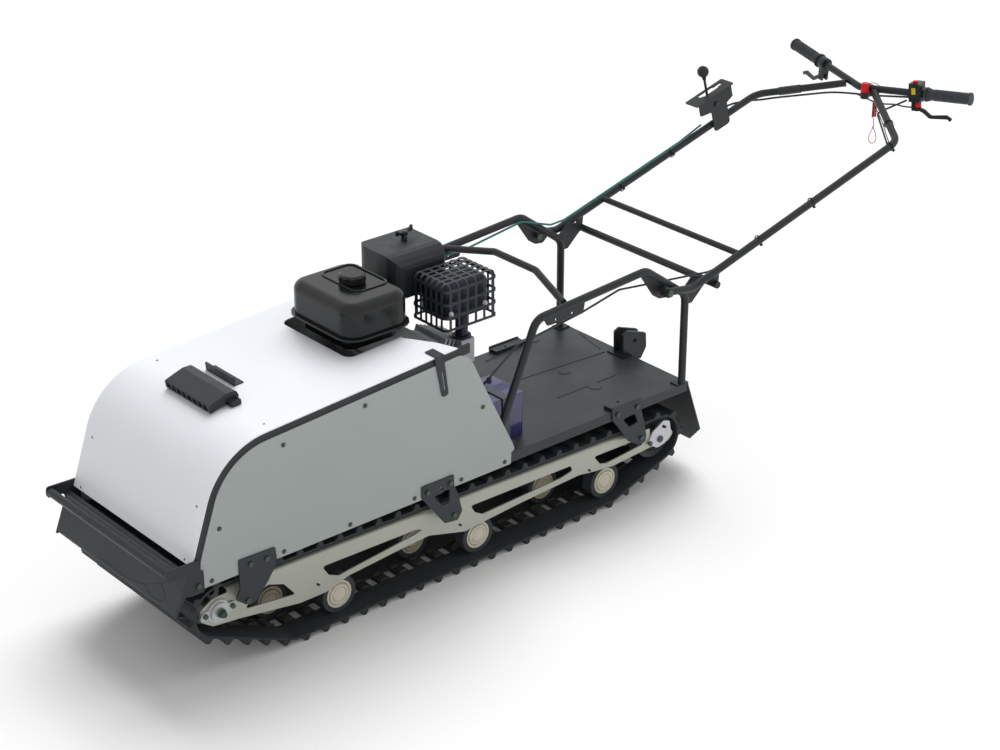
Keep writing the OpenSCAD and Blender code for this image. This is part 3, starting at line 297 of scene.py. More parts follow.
def sheet_alloy(name, colour, along=(1, 12, 12), metal=0.35, rough=0.42):
    """Rolled sheet: faint lines along the roll, small pits and a slow change of tone."""
    alloy = Finish(name)
    lines = alloy.noise(70, 4, along)
    tone = alloy.noise(5, 2)
    colour = alloy.tones(colour, 0.9, 1.06, lines * 0.45 + tone * 0.55)
    skin = alloy.bump(lines + alloy.noise(800, 2) * 0.5, 0.12, 0.0002)
    gloss = alloy.worn(lines, rough, 0.06, 0.08)
    return alloy.shade(base_color=colour, roughness=gloss, metallic=metal, normal=skin)


def powder_coat(name, colour, rough=0.46, peel=1100):
    """Baked paint: a fine orange peel, with dust that dulls it in slow patches."""
    coat = Finish(name)
    dust = coat.noise(9, 4)
    grain = coat.noise(peel, 2)
    colour = coat.tones(colour, 0.84, 1.14, dust * 0.7 + grain * 0.3)
    gloss = coat.worn(dust, rough, 0.07, 0.09)
    coat.mirror(SOFT_MIRROR)
    return coat.shade(base_color=colour, roughness=gloss, normal=coat.bump(grain, 0.3, 0.0002))


def dress(finish, *names):
    """Gives whole solids of the frame their finish."""
    for name in names:
        for held in nodes[name].material_slots:
            held.material = finish


rail_alloy = sheet_alloy("rail_alloy", RAIL_COLOUR)
dark_coat = powder_coat("dark_coat", COAT_COLOUR)
dress(rail_alloy, "rails")
dress(dark_coat, "suspension_tubes")


# The bearing flanges of the drive axle and the rear tension plates: turned and stamped
# steel, bright zinc plated. The frame's bolts and the panels' screws are plated dark green.
def zinc(name, colour, rough=0.36, metal=0.6):
    """Plated steel: a cloudy tone with a faint grain."""
    plating = Finish(name)
    cloud = plating.noise(120, 4)
    colour = plating.tones(colour, 0.78, 1.12, cloud)
    gloss = plating.worn(cloud, rough, 0.08, 0.12)
    skin = plating.bump(plating.noise(1500, 2), 0.25, 0.0001)
    return plating.shade(base_color=colour, roughness=gloss, metallic=metal, normal=skin)


bright_zinc = zinc("bright_zinc", linear(196, 197, 200))
green_zinc = zinc("green_zinc", linear(70, 88, 70), 0.4, 0.5)
dress(bright_zinc, "axle_mounts")
dress(green_zinc, "frame_bolts", "panel_screws")


# A cap nut with its washer closes each end of the drive axle: both are turned steel, zinc
# plated in a dark green, and screwed on to the axle's thread.
WASHER_THICK = 0.0014
NUT_FOOT = 0.0012
ACROSS_OVER_RADIUS = 1.732
DRIVE_AXLE = (1.256, 0.190)
AXLE_END = 0.2635


def fresh(name, add, **settings):
    """A primitive on its own, named, with nothing selected on it."""
    bpy.ops.object.select_all(action="DESELECT")
    add(**settings)
    piece = bpy.context.object
    piece.name = name
    bpy.ops.object.transform_apply(location=True, rotation=True, scale=True)
    bpy.ops.object.mode_set(mode="EDIT")
    bpy.context.tool_settings.mesh_select_mode = (False, False, True)
    bpy.ops.mesh.select_all(action="DESELECT")
    return piece


def drum(name, sides, radius, depth, foot=0.0):
    """A round or many-sided block that stands with its foot at that height."""
    return fresh(name, bpy.ops.mesh.primitive_cylinder_add, vertices=sides, radius=radius,
                 depth=depth, location=(0, 0, foot + depth / 2))


def brick(name, size, middle):
    """A square block of that size round its middle."""
    return fresh(name, bpy.ops.mesh.primitive_cube_add, size=1, location=middle, scale=size)


def pick(piece, test):
    """Selects the faces whose middle and normal pass the test, ready for the next tool."""
    bpy.ops.mesh.select_all(action="DESELECT")
    bpy.ops.object.mode_set(mode="OBJECT")
    for face in piece.data.polygons:
        face.select = test(face.center, face.normal)
    bpy.ops.object.mode_set(mode="EDIT")


def looks_up(middle, normal):
    return normal.z > 0.9


def push(move, scale=1.0):
    """Extrudes the picked faces by a move, then draws them in about their middle."""
    bpy.ops.mesh.extrude_region_move(TRANSFORM_OT_translate={"value": move})
    if scale != 1.0:
        bpy.ops.transform.resize(value=(scale, scale, scale))


def soften(piece, width, segments=2, angle=35):
    """Breaks the sharp edges with a bevel and shades the rest smooth."""
    bpy.ops.object.mode_set(mode="OBJECT")
    bevel = piece.modifiers.new("edges", "BEVEL")
    bevel.width = width
    bevel.segments = segments
    bevel.limit_method = "ANGLE"
    bevel.angle_limit = math.radians(angle)
    bpy.ops.object.modifier_apply(modifier="edges")
    bpy.ops.object.shade_smooth_by_angle(angle=math.radians(angle))


def join(pieces):
    """Joins pieces into the first of them."""
    bpy.ops.object.select_all(action="DESELECT")
    for piece in pieces:
        piece.select_set(True)
    bpy.context.view_layer.objects.active = pieces[0]
    if len(pieces) > 1:
        bpy.ops.object.join()
    return pieces[0]


def set_down(piece, name, places):
    """Copies of a finished piece at each place, joined as one; the pattern is taken away."""
    copies = []
    for place in places:
        copies.append(bpy.data.objects.new(name, piece.data.copy()))
        copies[-1].data.transform(place)
        bpy.context.scene.collection.objects.link(copies[-1])
    whole = join(copies)
    bpy.data.objects.remove(piece)
    whole.name = name
    return whole


def put_on(piece, finish, body):
    """Gives a piece its finish and the body that it rides on."""
    piece.data.materials.clear()
    piece.data.materials.append(finish)
    fasten(piece, body)


def facing(place, normal, roll=0.0):
    """A place matrix whose +Z looks along the normal."""
    turn = Vector(normal).to_track_quat("Z", "Y").to_matrix().to_4x4()
    return Matrix.Translation(Vector(place)) @ turn @ Matrix.Rotation(roll, 4, "Z")


def hex_nut(name, across, height, washer):
    """A cap nut on its washer, measured across the flats."""
    piece = drum(name, 6, across / ACROSS_OVER_RADIUS, height, NUT_FOOT)
    pick(piece, looks_up)
    bpy.ops.mesh.inset(thickness=across * 0.1, depth=0)
    push((0, 0, height * 0.12))
    bpy.ops.mesh.inset(thickness=across * 0.12, depth=0)
    push((0, 0, -height * 0.2))
    pick(piece, lambda middle, normal: normal.z < -0.9)
    bpy.ops.mesh.delete(type="FACE")
    soften(piece, across * 0.03, 1)
    disc = drum(name + "_washer", 24, washer / 2, WASHER_THICK)
    pick(disc, looks_up)
    bpy.ops.mesh.inset(thickness=washer * 0.06, depth=0.0003)
    bpy.ops.object.mode_set(mode="OBJECT")
    return join([piece, disc])


axle_nuts = set_down(
    hex_nut("axle_nut", across=0.016, height=0.010, washer=0.023), "axle_nuts",
    [facing((DRIVE_AXLE[0], side * AXLE_END, DRIVE_AXLE[1]), (0, side, 0), 0.3)
     for side in (-1, 1)],
)
put_on(axle_nuts, green_zinc, "drive")


# The road wheels: cream moulded discs with a raised ring, six bolts and a stepped hub, in
# dark rubber tyres. The rear idlers have grey discs.
FRONT_WHEEL_X = 1.025
MIDDLE_WHEEL_X = 0.559
REAR_WHEEL_X = 0.093
HUB_HEIGHT = 0.0735
TYRE_INSIDE = 0.0386


def moulded(name, colour, rough=0.5):
    """Moulded plastic: an even skin with a soft bloom and fine specks."""
    plastic = Finish(name)
    bloom = plastic.noise(28, 5)
    speck = plastic.noise(1700, 2)
    colour = plastic.tones(colour, 0.86, 1.05, bloom * 0.8 + speck * 0.2)
    gloss = plastic.worn(bloom, rough, 0.08, 0.08)
    plastic.mirror(SOFT_MIRROR)
    skin = plastic.bump(speck, 0.2, 0.0002)
    return plastic.shade(base_color=colour, roughness=gloss, normal=skin)


def rubber(name, colour, rough=0.74):
    """Rubber: dull, with a pebbled skin and pale scuffs."""
    skin = Finish(name)
    scuff = skin.noise(40, 6)
    pebble = skin.noise(650, 3)
    pale = skin.range(scuff, 0.52, 0.75)
    colour = skin.tones(colour, 0.8, 1.5, pale * 0.7 + pebble * 0.3)
    dull = skin.worn(scuff, rough, 0.06, 0.1)
    return skin.shade(base_color=colour, roughness=dull, normal=skin.bump(pebble, 0.5, 0.0005))


def wheel_finish(name, axle_x):
    """Cream disc and dark tyre of one inner wheel, told apart by the distance from its axle."""
    disc = Finish(name)
    where = disc.node("ShaderNodeSeparateXYZ", {}, {"Vector": disc.place()})
    away_x = where.out(0) - axle_x
    away_z = where.out(2) - HUB_HEIGHT
    radius = (away_x * away_x + away_z * away_z).power(0.5)
    grime = disc.noise(60, 5)
    cream = disc.mix(linear(150, 138, 112), linear(212, 206, 184), grime)
    colour = disc.mix(cream, linear(40, 44, 48), radius.above(TYRE_INSIDE))
    skin = disc.bump(disc.noise(900, 2), 0.3, 0.0003)
    return disc.shade(base_color=colour, roughness=disc.worn(grime, 0.5, 0.1, 0.1), normal=skin)


cream_disc = moulded("cream_disc", linear(222, 217, 198), 0.4)
grey_disc = moulded("grey_disc", linear(74, 78, 82))
tyre_rubber = rubber("tyre_rubber", linear(52, 57, 63))
dress(cream_disc, "outer_rims_front", "outer_rims_middle", "outer_rims_rear")
for inner, axle_x in (
    ("front", FRONT_WHEEL_X), ("middle", MIDDLE_WHEEL_X), ("rear", REAR_WHEEL_X),
):
    dress(wheel_finish("inner_disc_" + inner, axle_x), "inner_wheels_" + inner)
dress(tyre_rubber, "outer_tyres_front", "outer_tyres_middle", "outer_tyres_rear")
dress(grey_disc, "rear_idlers")


# The track: one wide belt of cord rubber with cross lugs, and the axle whose two sprockets
# reach through its windows.
belt_rubber = rubber("belt_rubber", linear(38, 42, 45))
axle_steel = zinc("axle_steel", linear(120, 122, 126), 0.42)
dress(belt_rubber, "track_belt")
dress(axle_steel, "drive_axle")

# Stamped steel clips are crimped round the belt between its windows, on the inside. They
# follow the same centre line as the belt, round the idlers, wheels and sprockets.
BELT_THICK = 0.006
PITCH = 0.0626
IDLER_PLACE = (-0.246, 0.153)
IDLER_RADIUS = 0.066
IDLER_PLAY = 0.001
LAST_WHEEL_X = -0.059
WHEEL_RADIUS = 0.0525
SPROCKET_TEETH = 7
SPROCKET_RADIUS = SPROCKET_TEETH * PITCH / (2 * math.pi)
CLIP_LONG = 0.026
CLIP_WIDE = 0.038
CLIP_THICK = 0.0012
CLIP_SUNK = 0.0012
CLIP_EAR = 0.005
CLIP_EAR_WIDE = 0.003
WINDOW_Y = 0.155
belt_rings = [
    (*IDLER_PLACE, IDLER_RADIUS + IDLER_PLAY + BELT_THICK / 2),
    (LAST_WHEEL_X, HUB_HEIGHT, WHEEL_RADIUS + BELT_THICK / 2),
    (FRONT_WHEEL_X, HUB_HEIGHT, WHEEL_RADIUS + BELT_THICK / 2),
    (*DRIVE_AXLE, SPROCKET_RADIUS),
]


def belt_run(number):
    """Length and outward angle of the straight run that leaves a ring of the belt."""
    here = belt_rings[number % 4]
    there = belt_rings[(number + 1) % 4]
    dx, dz, shrink = (there[i] - here[i] for i in range(3))
    apart = math.hypot(dx, dz)
    angle = math.atan2(dz, dx) - math.acos(-shrink / apart)
    return math.sqrt(apart * apart - shrink * shrink), angle


def belt_wrap(number):
    """Length and angle of the part of the belt that lies on the next ring."""
    turn = (belt_run(number + 1)[1] - belt_run(number)[1]) % (2 * math.pi)
    return belt_rings[(number + 1) % 4][2] * turn, turn


belt_length = sum(belt_run(i)[0] + belt_wrap(i)[0] for i in range(4))
lug_count = round(belt_length / PITCH)
lug_step = belt_length / lug_count
# The lugs are counted from the middle of the belt's way round the sprockets.
sprocket_wrap = belt_wrap(2)[0]
tooth_start = sum(belt_run(i)[0] + belt_wrap(i)[0] for i in range(3)) - sprocket_wrap / 2


def on_belt(along):
    """Place and outward angle of the belt's centre line, that far along it."""
    along %= belt_length
    for number in range(4):
        run, angle = belt_run(number)
        x, z, radius = belt_rings[number]
        if along < run:
            return (x + radius * math.cos(angle) - along * math.sin(angle),
                    z + radius * math.sin(angle) + along * math.cos(angle), angle)
        along -= run
        wrap, turn = belt_wrap(number)
        if along < wrap:
            x, z, radius = belt_rings[(number + 1) % 4]
            angle += along / radius
            return x + radius * math.cos(angle), z + radius * math.sin(angle), angle
        along -= wrap


def clip_places():
    """Places on the belt's inner face, half way between two windows, in both rows."""
    found = []
    for count in range(lug_count):
        x, z, angle = on_belt(tooth_start + (count + 0.5) * lug_step)
        inward = Vector((-math.cos(angle), 0, -math.sin(angle)))
        forward = Vector((-math.sin(angle), 0, math.cos(angle)))
        across = inward.cross(forward)
        turn = Matrix((forward, across, inward)).transposed().to_4x4()
        for side in (-1, 1):
            spot = Vector((x, side * WINDOW_Y, z)) + inward * BELT_THICK / 2
            found.append(Matrix.Translation(spot) @ turn)
    return found


clip = brick("belt_clip", (CLIP_LONG, CLIP_WIDE, CLIP_THICK + CLIP_SUNK),
             (0, 0, (CLIP_THICK - CLIP_SUNK) / 2))
ear_y = CLIP_WIDE / 2 - CLIP_EAR_WIDE
for side in (-1, 1):
    bpy.ops.mesh.select_all(action="SELECT")
    bpy.ops.mesh.bisect(plane_co=(0, side * ear_y, 0), plane_no=(0, 1, 0))
pick(clip, lambda middle, normal: looks_up(middle, normal) and abs(middle.y) > ear_y)
push((0, 0, CLIP_EAR))
soften(clip, 0.0005, 1)
belt_clips = set_down(clip, "belt_clips", clip_places())
clip_steel = zinc("clip_steel", linear(78, 72, 66), 0.45, 0.4)
put_on(belt_clips, clip_steel, "chassis")


# The load deck with its pressed ribs, the flap below it, the brackets that carry it and the
# tow bracket: folded sheet steel in a dark powder coat.
deck_coat = powder_coat("deck_coat", linear(50, 54, 57), 0.42, 700)
bracket_coat = powder_coat("bracket_coat", linear(48, 53, 57), 0.44)
black_coat = powder_coat("black_coat", linear(32, 35, 38), 0.4)
dress(deck_coat, "deck", "rear_flap")
dress(bracket_coat, "front_brackets", "middle_brackets", "rear_brackets")
dress(black_coat, "hitch_bracket")


# The engine on its stand, with its belt drive and chain case: die-cast alloy, left bare on
# the engine and painted dark on the covers.
def casting(name, colour, rough=0.5, metal=0.4):
    """Die casting: a coarse sand skin over a slow change of tone."""
    cast = Finish(name)
    sand = cast.noise(420, 4)
    tone = cast.noise(14, 3)
    colour = cast.tones(colour, 0.8, 1.1, sand * 0.5 + tone * 0.5)
    gloss = cast.worn(tone, rough, 0.08, 0.1)
    skin = cast.bump(sand, 0.5, 0.0005)
    return cast.shade(base_color=colour, roughness=gloss, metallic=metal, normal=skin)


bare_casting = casting("bare_casting", linear(168, 170, 173))
dark_casting = casting("dark_casting", linear(72, 76, 80), 0.45, 0.2)
dress(dark_coat, "engine_base")
dress(bare_casting, "engine_block")
dress(dark_casting, "variator_cover", "chain_case")


# The battery behind the engine: a clear blue case with its plates showing through, held by
# a grey webbing strap.
PLATE_PITCH = 0.004


def battery_case():
    """Clear blue plastic, with the edges of the plates as fine upright stripes."""
    case = Finish("battery_case")
    where = case.node("ShaderNodeSeparateXYZ", {}, {"Vector": case.place()})
    plates = case.node("ShaderNodeMath", {"operation": "PINGPONG"}, [where.out(0), PLATE_PITCH])
    stripe = case.range(plates.out(), 0.0012, 0.0028)
    ink = case.mix(linear(28, 30, 80), linear(56, 62, 122), stripe)
    colour = case.mix(linear(32, 34, 78), ink, case.range(case.noise(20), 0.3, 0.6))
    return case.shade(base_color=colour, roughness=0.2, coat_weight=0.5)


def webbing(name, colour):
    """Woven strap: fine threads, wider than they are high."""
    cloth = Finish(name)
    weave = cloth.noise(1, 0, (160, 160, 1600))
    colour = cloth.tones(colour, 0.7, 1.2, weave)
    return cloth.shade(base_color=colour, roughness=0.8, normal=cloth.bump(weave, 0.6, 0.0006))


dress(battery_case(), "battery")
dress(webbing("strap_grey", linear(92, 96, 98)), "battery_strap")


# The fuel tank on top of the engine: two halves of pressed steel, welded and painted in gloss
# black, with a moulded screw cap on its filler.
def gloss_paint(name, colour, rough, shine):
    """Gloss paint: a smooth skin with a very slight wave and a trace of dust."""
    paint = Finish(name)
    dust = paint.noise(7, 3)
    grain = paint.noise(900, 2)
    colour = paint.tones(colour, 0.96, 1.03, dust * 0.7 + grain * 0.3)
    gloss = paint.worn(dust, rough, 0, 0.07)
    skin = paint.bump(paint.noise(30, 2), 0.05, 0.0006)
    paint.mirror(shine)
    return paint.shade(base_color=colour, roughness=gloss, normal=skin)


tank_paint = gloss_paint("tank_paint", linear(17, 19, 21), 0.16, 0.35)
cap_plastic = moulded("cap_plastic", linear(26, 28, 31), 0.3)
dress(tank_paint, "fuel_tank")
dress(cap_plastic, "fuel_cap")


# A pressed rib runs round the filler. It is raised out of the tank's top as one rounded
# bead with round corners.
RIB_MIDDLE = (0.597, -0.045)
RIB_SIZE = (0.112, 0.168)
RIB_CORNER = 0.026
RIB_WIDE = 0.007
RIB_RISE = 0.0042
TANK_TOP = 0.791
RIB_SUNK = 0.001
rib_foot = (*RIB_MIDDLE, TANK_TOP - RIB_SUNK)
rib = fresh("tank_rib", bpy.ops.mesh.primitive_plane_add, size=1, location=rib_foot)
bpy.ops.mesh.select_all(action="SELECT")
bpy.ops.transform.resize(value=(*RIB_SIZE, 1), center_override=rib_foot)
bpy.ops.mesh.bevel(offset=RIB_CORNER, segments=6, affect="VERTICES")
bpy.ops.mesh.inset(thickness=RIB_WIDE, depth=0)
pick(rib, lambda middle, normal: (middle - Vector(rib_foot)).length < RIB_CORNER)
bpy.ops.mesh.delete(type="FACE")
bpy.ops.mesh.select_all(action="SELECT")
push((0, 0, RIB_RISE))
soften(rib, 0.0018, 3, 40)
put_on(rib, tank_paint, "chassis")


# The air filter box with its wing nut, moulded in dark grey plastic, and the muffler in its
# basket of flat steel strips.
filter_plastic = moulded("filter_plastic", linear(42, 46, 49), 0.42)
muffler_paint = casting("muffler_paint", linear(34, 35, 50), 0.42, 0.3)
guard_coat = powder_coat("guard_coat", linear(50, 54, 59), 0.4)
dress(filter_plastic, "filter_box")
dress(muffler_paint, "muffler")
dress(guard_coat, "muffler_guard")

# A black wing nut holds the filter box's lid: a round boss with two swept wings, moulded
# round a threaded insert.
NUT_PLACE = (0.376, -0.115, 0.829)
wing_nut = drum("wing_nut", 16, 0.010, 0.012)
for wing in (-1, 1):
    pick(wing_nut, lambda middle, normal: normal.x * wing > 0.85)
    push((wing * 0.008, 0, 0.004), 0.6)
    push((wing * 0.013, 0, 0.004), 2.2)
soften(wing_nut, 0.0012, 2, 40)
wing_nut = set_down(wing_nut, "wing_nut", [facing(NUT_PLACE, (0, 0, 1), 0.18)])
put_on(wing_nut, cap_plastic, "chassis")

# Two bright cap nuts with washers, turned steel and zinc plated, are screwed on to the
# basket's near side.
BASKET_SIDE = 0.1342
STUD_HEIGHT = 0.699
basket_bolts = set_down(
    hex_nut("basket_bolt", across=0.009, height=0.006, washer=0.013), "basket_bolts",
    [facing((x, BASKET_SIDE, STUD_HEIGHT), (0, 1, 0), 0.2) for x in (0.4225, 0.3081)],
)
put_on(basket_bolts, bright_zinc, "chassis")


# The hood: one sheet folded over the engine, painted white, between two side panels of
# brushed grey plastic-faced alloy, with a dark rubber edge all along.
hood_paint = gloss_paint("hood_paint", linear(238, 241, 245), 0.3, 0.4)
panel_alloy = sheet_alloy("panel_alloy", linear(160, 167, 165), (1, 6, 30), 0.2, 0.42)
edge_rubber = rubber("edge_rubber", linear(34, 37, 40), 0.6)
dress(hood_paint, "hood")
dress(panel_alloy, "panel_left", "panel_right")
dress(edge_rubber, "edge_seals")
dress(bracket_coat, "hood_straps")

# Small countersunk steel screws, plated grey, fix the hood to the frame under it: two down
# each edge of its leaning face and one at each side of its top.
SCREW_SUNK = 0.0003
HOOD_SLOPE = math.radians(19.09)
HOOD_TOP_SLOPE = math.radians(86.31)
lean_normal = (math.cos(HOOD_SLOPE), 0, math.sin(HOOD_SLOPE))
top_normal = (math.cos(HOOD_TOP_SLOPE), 0, math.sin(HOOD_TOP_SLOPE))
screw = drum("hood_screw", 16, 0.0032, 0.001, -SCREW_SUNK)
pick(screw, looks_up)
bpy.ops.mesh.inset(thickness=0.0012, depth=0.0004)
bpy.ops.mesh.inset(thickness=0.0008, depth=-0.0007)
soften(screw, 0.0002, 1)
screw_places = [
    facing((x, side * y, z), normal) for side in (-1, 1) for x, y, z, normal in (
        (1.2903, 0.2340, 0.4882, lean_normal), (1.3345, 0.2355, 0.3604, lean_normal),
        (1.0863, 0.2328, 0.6393, top_normal),
    )
]
hood_screws = set_down(screw, "hood_screws", screw_places)
put_on(hood_screws, zinc("screw_grey", linear(120, 126, 130)), "chassis")


# The nose: a straight bumper tube stands over a skid plate of folded sheet steel, both in the
# dark powder coat.
dress(black_coat, "bumper_bar")
dress(powder_coat("skid_coat", linear(44, 48, 52), 0.44), "skid_plate")


# A fine seam is pressed across the skid plate and ends in a loop by its left corner; a thin
# dark line that stands a little proud is drawn along it, as painted shade for its crease.
SEAM_THICK = 0.0016
seam_route = [
    (1.3905, -0.0586, 0.2510), (1.3912, -0.0089, 0.2495), (1.3910, 0.0538, 0.2500),
    (1.3857, 0.1259, 0.2629), (1.3758, 0.1840, 0.2874), (1.3689, 0.2146, 0.3043),
]
loop_route = [
    (1.3861, 0.1282, 0.2618), (1.3909, 0.1572, 0.2501), (1.3912, 0.1872, 0.2495),
    (1.3892, 0.2096, 0.2542), (1.3819, 0.2126, 0.2722), (1.3763, 0.1891, 0.2860),
]


def smooth_route(points, steps=6):
    """Points on a soft curve through the given ones, each span cut in equal steps."""
    given = [Vector(point) for point in points]
    given = [2 * given[0] - given[1]] + given + [2 * given[-1] - given[-2]]
    found = []
    for before, start, end, after in zip(given, given[1:], given[2:], given[3:]):
        for step in range(steps):
            t = step / steps
            found.append(0.5 * (
                2 * start + (end - before) * t + (2 * before - 5 * start + 4 * end - after) * t * t
                + (3 * start - before - 3 * end + after) * t * t * t
            ))
    return found + [given[-2]]


# Painted shade: the dark line stands for the shade in the seam's pressed crease.
seam_shade = rubber("seam_shade", linear(26, 29, 32))
for name, route in (("skid_seam", seam_route), ("skid_loop", loop_route)):
    seam = round_line(name, smooth_route(route), SEAM_THICK, seam_shade, 8)
    fasten(seam, "chassis")


# The lamp bar that is fixed on the hood's top: a dark moulded housing with eight bright
# plated cells that look forward.
lamp_plastic = moulded("lamp_plastic", linear(44, 48, 51), 0.36)
lamp_bright = zinc("lamp_bright", linear(214, 218, 224), 0.14, 0.9)
dress(lamp_plastic, "light_housing")
dress(lamp_bright, "light_lens")


# The tube frame: the side tubes, the hoop between them and the folding handlebar frame, all
# of bent steel tube, welded and powder coated.
tube_coat = powder_coat("tube_coat", linear(36, 39, 42), 0.4)
dress(tube_coat, "side_tube_left", "side_tube_right", "frame_hoop")
dress(tube_coat, "handle_frame", "handlebar")


# What the hands hold: ribbed rubber grips, the switch block with its brake lever, the
# throttle on the other side, the gear gate with its lever, and the red stop cap.
grip_rubber = rubber("grip_rubber", linear(48, 52, 56), 0.62)
control_plastic = moulded("control_plastic", linear(36, 39, 42), 0.38)
lever_alloy = powder_coat("lever_alloy", linear(44, 48, 52), 0.32)
stop_red = moulded("stop_red", linear(226, 26, 36), 0.3)
dress(grip_rubber, "grips")
dress(control_plastic, "switch_block", "throttle_perch", "shift_lever")
dress(lever_alloy, "brake_lever", "throttle_lever")
dress(tube_coat, "shift_gate")
dress(stop_red, "kill_cap")


# The two sheathed control cables run from the engine up the frame and along the handle, on
# the lines of the solid cables that they stand for.
def sheath(name, colour):
    """Extruded plastic over a wound steel sheath, whose turns just show."""
    cover = Finish(name)
    turns = cover.noise(500, 2)
    colour = cover.tones(colour, 0.8, 1.2, turns)
    return cover.shade(base_color=colour, roughness=0.44, normal=cover.bump(turns, 0.3, 0.0003))


SHEATH_WIDE = 0.0060
SHEATH_BEND = 0.024
SHEATH_Y = 0.24180
SHEATH_CUTS = 4


def bent_route(corners, radius, steps=5):
    """The line through the corners, each rounded as far as its shorter leg leaves room."""
    given = [Vector(corner) for corner in corners]
    found = [given[0]]
    for before, corner, after in zip(given, given[1:], given[2:]):
        back_way = (before - corner).normalized()
        on_way = (after - corner).normalized()
        half = back_way.angle(on_way) / 2
        shorter = min((before - corner).length, (after - corner).length)
        cut = min(radius / math.tan(half), 0.45 * shorter)
        start = corner + back_way * cut
        end = corner + on_way * cut
        for step in range(steps + 1):
            t = step / steps
            found.append(start * (1 - t) ** 2 + corner * 2 * t * (1 - t) + end * t * t)
    return found + [given[-1]]


throttle_corners = [
    (0.425, 0.1135, 0.430), (0.420, 0.200, 0.470), (0.380, SHEATH_Y, 0.545),
    (0.290, SHEATH_Y, 0.606), (0.060, SHEATH_Y, 0.634), (-0.076, SHEATH_Y, 0.661),
    (-0.180, SHEATH_Y, 0.6476), (-0.300, SHEATH_Y, 0.6323), (-0.420, SHEATH_Y, 0.617),
    (-0.500, 0.271, 0.645), (-1.125, 0.2745, 0.820), (-1.250, 0.118, 0.862),
    (-1.338, 0.156, 0.892),
]
gear_corners = [
    (0.425, -0.1535, 0.430), (0.420, -0.176, 0.480), (0.290, -0.222, 0.610),
    (0.210, -SHEATH_Y, 0.662), (0.060, -SHEATH_Y, 0.662), (-0.150, -SHEATH_Y, 0.690),
    (-0.262, -SHEATH_Y, 0.651), (-0.334, -0.262, 0.642), (-0.800, -0.262, 0.772),
    (-0.893, -0.2659, 0.803),
]
for node_name, corners, finish, slot in (
    ("gas_cable", throttle_corners, sheath("black_sheath", linear(28, 31, 34)), "cable_black"),
    ("shift_cable", gear_corners, sheath("teal_sheath", linear(6, 108, 98)), "cable_teal"),
):
    route = bent_route(corners, SHEATH_BEND)
    fine = [
        start.lerp(end, cut / SHEATH_CUTS)
        for start, end in zip(route, route[1:]) for cut in range(SHEATH_CUTS)
    ] + [route[-1]]
    sheathed = round_line(node_name + "_sheath", fine, SHEATH_WIDE, finish, 16)
    bpy.ops.object.select_all(action="DESELECT")
    sheathed.select_set(True)
    bpy.context.view_layer.objects.active = sheathed
    bpy.ops.object.convert(target="MESH")
    sheathed = bpy.context.object
    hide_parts(node_name)
    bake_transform(sheathed)


# Nylon ties round the handle tubes: a flat band is pulled tight through its moulded lock.
# On the near tube's straight length they hold the throttle cable. Each looks along its tube.
TUBE_WIDE = 0.022
near_tube = (-0.963, 0.008, 0.269)
far_tube = (-0.963, -0.008, 0.269)
bent_tube = (-0.55, -0.807, 0.214)
BAND_RADIUS = TUBE_WIDE / 2 + 0.0022
BAND_HALF_THICK = 0.0016
BAND_STRETCH = 1.6
tie = fresh("tie", bpy.ops.mesh.primitive_torus_add, major_radius=BAND_RADIUS,
            minor_radius=BAND_HALF_THICK, major_segments=28, minor_segments=6)
bpy.ops.mesh.select_all(action="SELECT")
bpy.ops.transform.resize(value=(1, 1, BAND_STRETCH))
soften(tie, 0.0001, 1, 60)
lock = brick("tie_lock", (0.006, 0.005, 0.005), (-TUBE_WIDE / 2 - 0.005, 0, 0))
pick(lock, lambda middle, normal: normal.y > 0.9)
push((0, 0.008, 0), 0.35)
soften(lock, 0.0006, 1)
ties = set_down(join([tie, lock]), "cable_ties", [
    facing((-0.5724, -0.2771, 0.6789), far_tube),
    facing((-0.7788, -0.2789, 0.7365), far_tube),
    facing((-0.5807, 0.2772, 0.6813), near_tube, 1.2),
    facing((-0.7934, 0.2790, 0.7406), near_tube, 1.2),
    facing((-1.2044, 0.2021, 0.8612), bent_tube, 0.8),
    facing((-1.1208, 0.2818, 0.8319), near_tube, 0.8),
])
put_on(ties, control_plastic, "handle")

# Three black leads, sheathed like the cables: one from beside the gear gate along the far tube
# to the switch block, one under the handlebar, and one that hangs in a loop by the near tube.
# A black sleeve covers the far tube behind its bend.
lead_black = sheath("lead_black", linear(24, 27, 30))
gate_lead = [
    (-0.985, -0.2935, 0.8160), (-1.0500, -0.2935, 0.8260), (-1.1190, -0.2900, 0.8225),
    (-1.1600, -0.2690, 0.8230), (-1.1847, -0.2311, 0.8340), (-1.2300, -0.1640, 0.8500),
    (-1.2780, -0.0930, 0.8660), (-1.3090, -0.0300, 0.8720), (-1.3230, 0.0205, 0.8763),
    (-1.3400, 0.0800, 0.8850), (-1.3560, 0.1354, 0.8933), (-1.3580, 0.1600, 0.8990),
]
brake_lead = [
    (-1.3200, -0.0300, 0.8700), (-1.3260, 0.0000, 0.8640), (-1.3300, 0.0415, 0.8583),
    (-1.3340, 0.0738, 0.8601), (-1.3420, 0.1089, 0.8657), (-1.3490, 0.1378, 0.8654),
    (-1.3560, 0.1640, 0.8680),
]
hung_lead = [
    (-1.2690, 0.0900, 0.8740), (-1.2545, 0.1286, 0.8480), (-1.2290, 0.1660, 0.8354),
    (-1.2143, 0.1876, 0.8226), (-1.1936, 0.2181, 0.8108), (-1.1650, 0.2560, 0.8180),
    (-1.1350, 0.2700, 0.8230),
]
for name, route, thick in (
    ("gate_lead", gate_lead, 0.0065), ("brake_lead", brake_lead, 0.005),
    ("hung_lead", hung_lead, 0.0032),
):
    lead = round_line(name, smooth_route(route), thick, lead_black)
    fasten(lead, "handle")
sleeve_route = [(-1.1894, -0.2242, 0.8553), (-1.2272, -0.1687, 0.8701)]
SLEEVE_WIDE = TUBE_WIDE + 0.004
